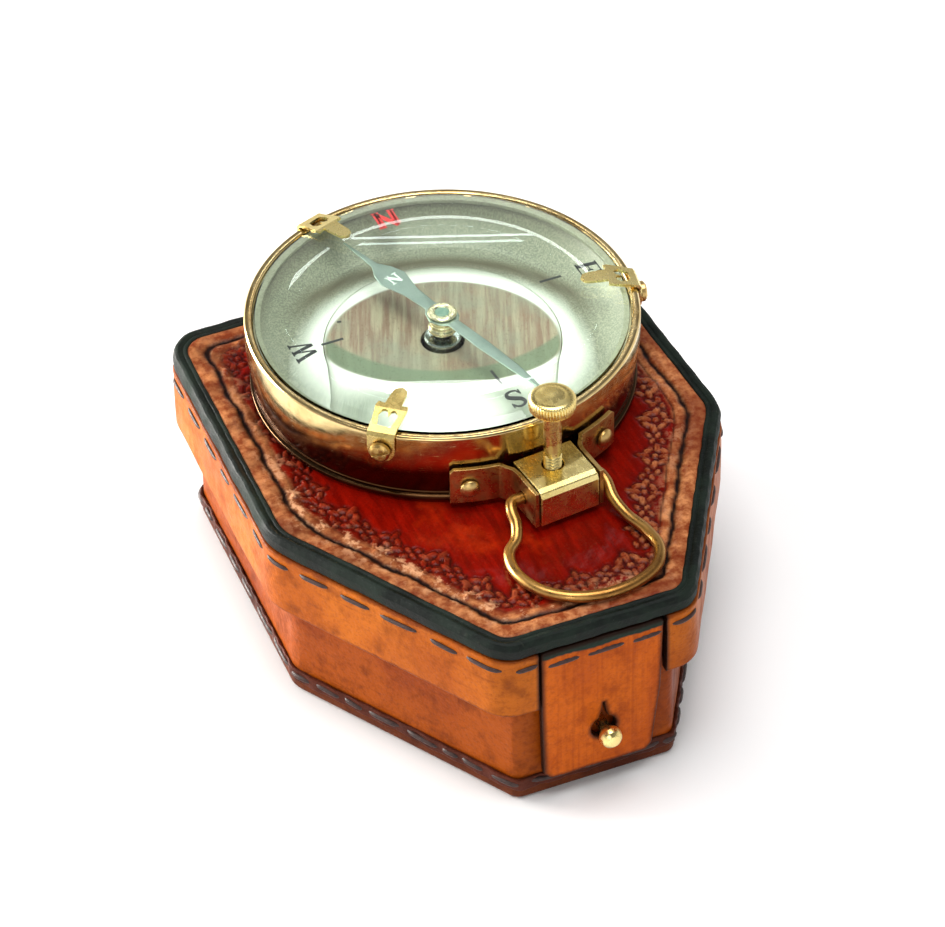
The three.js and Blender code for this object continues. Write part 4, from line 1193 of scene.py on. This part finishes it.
# a low dome from r = DOME_START out to the rim, so no steep edge stands above the brass
DOME_START, GLASS_EDGE, DOME_DROP = 27.5, 35.5, 1.38
GLASS_LOW, GLASS_TOP = 14.5, 17.1
dome = [(r, GLASS_TOP - DOME_DROP * ((r - DOME_START) / (GLASS_EDGE - DOME_START)) ** 2)
        for r in np.linspace(GLASS_EDGE, DOME_START, 14)]
glass_flat = [(0, GLASS_LOW), (34.8, GLASS_LOW), (35.2, GLASS_LOW), (GLASS_EDGE, 14.7), *dome,
              (27.1, GLASS_TOP), (0, GLASS_TOP)]
lens = lathe_piece("compass_glass_lens", glass_flat, 224, sharp=30)
settle(lens, "compass_housing", glass, ["compass_glass"])


# ---- dial marks, painted on the glass's underside ----
def bar(x0, y0, x1, y1, width):
    """A straight stroke as a four-cornered outline."""
    a, b = np.array([x0, y0]), np.array([x1, y1])
    along = (b - a) / np.linalg.norm(b - a)
    side = np.array([-along[1], along[0]]) * width / 2
    return np.array([a - side, b - side, b + side, a + side])


def curve_stroke(points, widths):
    path = catmull([(*p, 0) for p in points], 8)[:, :2]
    w = np.interp(np.linspace(0, 1, len(path)), np.linspace(0, 1, len(widths)), widths)
    ahead = tangents(path)
    side = np.column_stack([-ahead[:, 1], ahead[:, 0]]) * w[:, None] / 2
    return np.vstack([path - side, (path + side)[::-1]])


THICK, THIN, SERIF = 0.2, 0.07, 0.06


def serifs(y, *spans):
    """Level strokes at one height, one for each (from, to) span."""
    return [bar(a, y, b, y, SERIF) for a, b in spans]


LETTERS = {
    "N": [bar(-0.34, -0.5, -0.34, 0.5, THIN), bar(-0.38, 0.48, 0.34, -0.5, THICK),
          bar(0.34, -0.5, 0.34, 0.5, THIN), *serifs(0.48, (-0.5, -0.18), (0.18, 0.5)),
          *serifs(-0.48, (-0.5, -0.18))],
    "E": [bar(-0.2, -0.5, -0.2, 0.5, THICK), *serifs(0.47, (-0.38, 0.36)), *serifs(-0.47, (-0.38, 0.38)),
          *serifs(0.02, (-0.2, 0.2)), bar(0.33, 0.5, 0.36, 0.26, SERIF), bar(0.36, -0.5, 0.4, -0.22, SERIF),
          bar(0.2, -0.12, 0.2, 0.16, SERIF)],
    "W": [bar(-0.52, 0.5, -0.22, -0.5, THICK * 0.85), bar(-0.2, -0.5, 0.06, 0.5, THIN),
          bar(0.0, 0.5, 0.24, -0.5, THICK * 0.85), bar(0.26, -0.5, 0.54, 0.5, THIN),
          *serifs(0.48, (-0.66, -0.34), (-0.14, 0.16), (0.38, 0.66))],
    "S": [curve_stroke([(0.27, 0.3), (0.14, 0.46), (-0.08, 0.48), (-0.27, 0.34), (-0.22, 0.12),
                        (0.05, -0.04), (0.28, -0.2), (0.28, -0.38), (0.08, -0.49), (-0.16, -0.46),
                        (-0.3, -0.28)],
                       [0.07, 0.08, 0.1, 0.15, 0.2, 0.22, 0.2, 0.15, 0.1, 0.08, 0.07]),
          bar(0.3, 0.22, 0.3, 0.5, SERIF), bar(-0.32, -0.5, -0.32, -0.2, SERIF)],
}


def flat_marks(name, outlines, low, high, material, body="compass_housing"):
    verts, faces = [], []
    for outline in outlines:
        n, first = len(outline), len(verts)
        verts += [(x, y, low) for x, y in outline] + [(x, y, high) for x, y in outline]
        half = n // 2
        if n == 4:
            tops = [(0, 1, 2, 3)]
        else:
            tops = [(k, k + 1, n - 2 - k, n - 1 - k) for k in range(half - 1)]
        for quad in tops:
            faces.append(tuple(first + n + k for k in quad))
            faces.append(tuple(first + k for k in reversed(quad)))
        for k in range(n):
            m = (k + 1) % n
            faces.append((first + k, first + m, first + n + m, first + n + k))
    piece = mesh_piece(name, np.array(verts) + COMPASS, faces, 30)
    return settle(piece, body, material)


def set_letter(letter, radius, degrees, size, stretch=1.0):
    """A letter with its top away from the middle, as outlines in the compass plane."""
    turn = math.radians(degrees)
    out = np.array([math.cos(turn), math.sin(turn)])
    right = np.array([out[1], -out[0]])
    place = out * radius
    return [place + outline[:, :1] * size * stretch * right + outline[:, 1:] * size * out
            for outline in LETTERS[letter]]


def tick(degrees, start, end, width):
    """A short stroke pointing away from the compass's middle."""
    c, s = math.cos(math.radians(degrees)), math.sin(math.radians(degrees))
    return bar(start * c, start * s, end * c, end * s, width)


MARK_LOW, MARK_HIGH = 14.36, 14.46
black = []
for letter, degrees, radius in (("E", 1.0, 30.3), ("S", -85.0, 29.2), ("W", 181.0, 28.2)):
    black += set_letter(letter, radius, degrees, 4.1, 1.05)
black += [tick(degrees, 20.2, 24.6, 0.5) for degrees in (0.5, 180.5, -86.0)]
black.append(tick(166, 19.2, 20.0, 0.4))
flat_marks("dial_letters", black, MARK_LOW, MARK_HIGH, ink)

# the north letter is a serif N with its two uprights thickened
NORTH_RADIUS, NORTH_DEGREES = 30.0, 88
north = set_letter("N", NORTH_RADIUS, NORTH_DEGREES, 4.9, 0.95)
north_x = NORTH_RADIUS * math.cos(math.radians(NORTH_DEGREES))
for left, right in ((-2.1, -0.9), (0.9, 2.1)):
    north.append(np.array([(north_x + x, NORTH_RADIUS + y)
                           for x, y in ((left, -2.0), (right, -2.0), (right, 2.0), (left, 2.0))]))
flat_marks("dial_north_letter", north, MARK_LOW, MARK_HIGH, red_ink)


# ---- clips, bracket and their screws ----
for side in ("northwest", "east", "southwest"):
    refine(f"glass_clip_{side}", 0.09, brass_bright, 2)
    refine(f"clip_screw_{side}", 0.12, brass, 2)
for side in ("left", "right"):
    refine(f"bracket_ear_{side}", 0.16, brass, 3)
refine("bracket_block", 0.22, brass_bright, 3)
for side in ("left", "right"):
    refine(f"bracket_screw_{side}", 0.15, brass, 3)


# ---- thumbscrew: threaded shank, plain neck and a knurled head ----
SCREW_RADIAL = 42.0


def bracket_place(piece):
    """Moves a piece made on the origin's axis to the thumbscrew's place beside the housing."""
    outward = Matrix.Translation((SCREW_RADIAL * MM, 0, 0))
    piece.data.transform(Matrix.Rotation(BRACKET_ANGLE, 4, "Z") @ outward)
    piece.data.transform(Matrix.Translation(Vector(COMPASS * MM)))
    return piece


def make_thumbscrew():
    sides, pitch, foot, shank = 40, 0.7, 4.8, 1.68
    levels = np.concatenate([np.arange(foot, 11.6, pitch / 7), [11.8, 14.0, 17.0, 20.0, 21.6]])
    verts = []
    for z in levels:
        for k in range(sides):
            turn = 2 * math.pi * k / sides
            r = shank
            if z < 11.5:
                phase = ((z / pitch - k / sides) % 1.0)
                r = 1.45 + 0.32 * (1 - abs(phase * 2 - 1)) * min(1, max((z - foot) / 0.8, 0.1))
                r = min(r, 1.05 + (z - foot) * 1.2)
            verts.append((r * math.cos(turn), r * math.sin(turn), z))
    faces = capped_sweep(len(levels), sides)
    start = len(verts)
    teeth, per, grip = 46, 6, 4.25
    around = teeth * per
    rows = [(1.6, 21.5, 0), (2.5, 21.85, 0), (3.6, 22.15, 0), (4.0, 22.3, 0.2), (4.22, 22.55, 0.8),
            (grip, 22.8, 1), (grip, 23.6, 1), (grip, 24.4, 1), (4.2, 24.62, 0.8), (4.02, 24.9, 0.25),
            (3.75, 25.12, 0), (3.2, 25.24, 0), (2.6, 25.2, 0), (2.2, 25.22, 0), (1.2, 25.3, 0),
            (0.4, 25.33, 0)]
    for r, z, share in rows:
        for k in range(around):
            turn = 2 * math.pi * k / around
            ridge = 0.17 * share * (abs(math.sin(teeth * turn / 2)) ** 0.7 * 2 - 1)
            verts.append(((r + ridge) * math.cos(turn), (r + ridge) * math.sin(turn), z))
    faces += capped_sweep(len(rows), around, start)
    return mesh_piece("thumbscrew_knurled", np.array(verts), faces, 50)


settle(bracket_place(make_thumbscrew()), "screw", brass_bright, ["thumbscrew"])


# ---- needle ----
NEEDLE_LOW, NEEDLE_HIGH = 13.15, 13.45


def make_needle():
    upper = [(29.3, 0.12), (20.0, 0.7), (17.4, 2.2), (14.6, 2.95), (9.0, 1.6), (3.4, 1.3), (2.4, 2.2),
             (0, 3.2), (-2.4, 2.2), (-3.4, 1.2), (-12, 1.3), (-22, 0.9), (-28.6, 0.2)]
    outline = np.array(upper + [(x, -y) for x, y in reversed(upper)])[::-1]
    turns = np.linspace(0, 2 * math.pi, 28, endpoint=False)
    hole = np.column_stack([1.95 * np.cos(turns), 1.95 * np.sin(turns)])
    outline = rounded(outline.tolist(), 0.25, 2)
    verts, faces, flat, gap = plate_mesh(outline, [hole], NEEDLE_LOW, NEEDLE_HIGH, 0.1, 0.45)
    n = len(flat)
    verts[:n, 2] += np.clip(gap, 0, 1.2) * 0.06
    piece = mesh_piece("needle_blade_cut", verts, faces, 50)
    piece.data.transform(Matrix.Translation(Vector(COMPASS * MM)) @ Matrix.Rotation(NEEDLE_ANGLE, 4, "Z"))
    return piece


settle(make_needle(), "needle", needle_steel, ["needle_blade"])
needle_mark = [outline[:, ::-1] * (1, -1) * 2.7 + (14.1, 0) for outline in LETTERS["N"]]
c, s = math.cos(NEEDLE_ANGLE), math.sin(NEEDLE_ANGLE)
needle_mark = [np.column_stack([o[:, 0] * c - o[:, 1] * s, o[:, 0] * s + o[:, 1] * c]) for o in needle_mark]
flat_marks("needle_north_mark", needle_mark, 13.5, 13.62, white_ink, "needle")

cap_flat = rounded([(1.9, 9.9), (2.7, 9.9), (2.75, 10.55), (2.35, 10.85), (2.35, 11.5), (2.2, 11.7),
                    (2.35, 11.9), (2.35, 12.4), (1.95, 12.8), (1.65, 12.9), (1.65, 13.6), (2.7, 13.72),
                    (2.85, 13.95), (2.5, 14.2), (1.65, 14.2), (1.45, 14.0), (0.0, 13.95), (0.0, 12.5),
                    (1.85, 12.35)], 0.12, 3)
cap = lathe_piece("needle_cap_turned", cap_flat, 96, sharp=50)
settle(cap, "needle", cap_brass, ["needle_cap"])
cap_disc = rounded([(0, 13.9), (1.4, 13.9), (1.4, 14.02), (0.9, 14.08), (0, 14.1)], 0.05, 2, closed=False)
settle(lathe_piece("needle_cap_stone", cap_disc, 48), "needle", jewel)


# ---- wire bail ----
def bail_route():
    turn = BRACKET_ANGLE
    out = np.array([math.cos(turn), math.sin(turn)])
    across = np.array([-math.sin(turn), math.cos(turn)])

    def pivot(offset):
        return (*(out * 43.4 + across * offset), 4.7)

    flat = 1.15  # where the wire lies on the lid
    return [pivot(-4.9), pivot(-7.4), (-4.9, -44.3, 4.75), (-5.75, -45.9, 4.3), (-5.9, -48.4, 2.9),
            (-7.0, -50.9, 1.6), (-9.2, -53.0, 1.2), (-10.3, -56.0, flat), (-10.2, -60.2, flat),
            (-7.9, -65.3, flat), (-3.4, -69.0, flat), (2.4, -70.6, flat), (8.8, -69.9, flat),
            (13.9, -67.2, flat), (16.4, -62.8, flat), (16.1, -57.5, flat), (14.5, -52.6, 1.4),
            (13.6, -48.6, 2.6), (13.6, -45.2, 4.2), (13.0, -43.0, 4.7), pivot(7.4), pivot(4.9)]


path = catmull(bail_route(), 10)
WIRE_RADIUS = 1.1
thickness = np.full(len(path), WIRE_RADIUS)
for i, share in enumerate((0.55, 0.8, 0.93)):
    thickness[i] *= share
    thickness[-1 - i] *= share
bail_verts, bail_faces = tube_arrays(path, thickness, 24)
bail = mesh_piece("wire_bail_drawn", np.array(bail_verts) + COMPASS, bail_faces, 60)
settle(bail, "bail", satin_brass, ["wire_bail"])


# ---- floor, light and camera ----
floor_mesh = bpy.data.meshes.new("studio_floor")
size = 3.0
corners = [(-size, -size, 0), (size, -size, 0), (size, size, 0), (-size, size, 0)]
floor_mesh.from_pydata(corners, [], [(0, 1, 2, 3)])
floor = bpy.data.objects.new("studio_floor", floor_mesh)
floor.location.z = -0.0002
bpy.context.scene.collection.objects.link(floor)
floor_look = Look("studio_white", roughness=0.6)
floor_mesh.materials.append(floor_look.done((0.97, 0.97, 0.97)))

world = bpy.data.worlds.new("studio")
bpy.context.scene.world = world
world.use_nodes = True
sky = world.node_tree
place = sky.nodes.new("ShaderNodeTexCoord").outputs["Generated"]
height = sky.nodes.new("ShaderNodeSeparateXYZ")
sky.links.new(place, height.inputs[0])
fade = sky.nodes.new("ShaderNodeMapRange")
fade.interpolation_type = "SMOOTHSTEP"
sky.links.new(height.outputs["Z"], fade.inputs["Value"])
for name, value in (("From Min", 0.12), ("From Max", 0.62), ("To Min", 1.0), ("To Max", 0.16)):
    fade.inputs[name].default_value = value
sky.links.new(fade.outputs[0], sky.nodes["Background"].inputs[1])
sky.nodes["Background"].inputs[0].default_value = (1, 1, 1, 1)


def panel_light(name, place, target, width, height, power, colour=(1, 1, 1)):
    """A rectangular lamp at a place, turned to face its target; metres and watts."""
    data = bpy.data.lights.new(name, "AREA")
    data.shape = "RECTANGLE"
    data.size, data.size_y = width, height
    data.energy = power
    data.color = colour
    lamp = bpy.data.objects.new(name, data)
    lamp.location = place
    lamp.rotation_euler = (Vector(target) - Vector(place)).to_track_quat("-Z", "Y").to_euler()
    bpy.context.scene.collection.objects.link(lamp)


panel_light("overhead", (0.0, -0.05, 1.3), (0, 0, 0.03), 0.9, 0.9, 15.0)
panel_light("left_behind", (-0.62, 0.62, 0.16), (-0.03, 0, 0.03), 0.5, 0.3, 21.0, (1.0, 0.97, 0.92))
panel_light("front_fill", (-0.5, -0.9, 0.5), (0, 0, 0.03), 0.5, 0.4, 1.6)
panel_light("glass_gleam", (0.222, 0.558, 0.574), (-0.008, -0.0082, 0.0577), 0.080, 0.020, 0.05)
panel_light("glass_line", (0.2491, 0.6211, 0.5532), (0.0122, 0.0394, 0.0577), 0.08, 0.0008, 0.002,
            (0.9, 0.97, 1.0))

camera_data = bpy.data.cameras.new("camera")
camera = bpy.data.objects.new("camera", camera_data)
bpy.context.scene.collection.objects.link(camera)
CAMERA_DISTANCE = 0.962
azimuth, elevation, roll = math.radians(-22.3), math.radians(40.8), math.radians(-1.2)
target = Vector((-0.0038, -0.0045, 0.0404))
back = Vector((math.sin(azimuth) * math.cos(elevation), -math.cos(azimuth) * math.cos(elevation),
               math.sin(elevation)))
right = Vector((math.cos(azimuth), math.sin(azimuth), 0))
up = back.cross(right)
right_rolled = right * math.cos(roll) + up * math.sin(roll)
up_rolled = up * math.cos(roll) - right * math.sin(roll)
camera.matrix_world = Matrix((
    *[(right_rolled[k], up_rolled[k], back[k], target[k] + back[k] * CAMERA_DISTANCE) for k in range(3)],
    (0, 0, 0, 1)))
camera_data.sensor_width = 36
camera_data.lens = 196.1
camera_data.clip_start, camera_data.clip_end = 0.01, 20
bpy.context.scene.camera = camera
bpy.context.scene.view_settings.view_transform = "Standard"
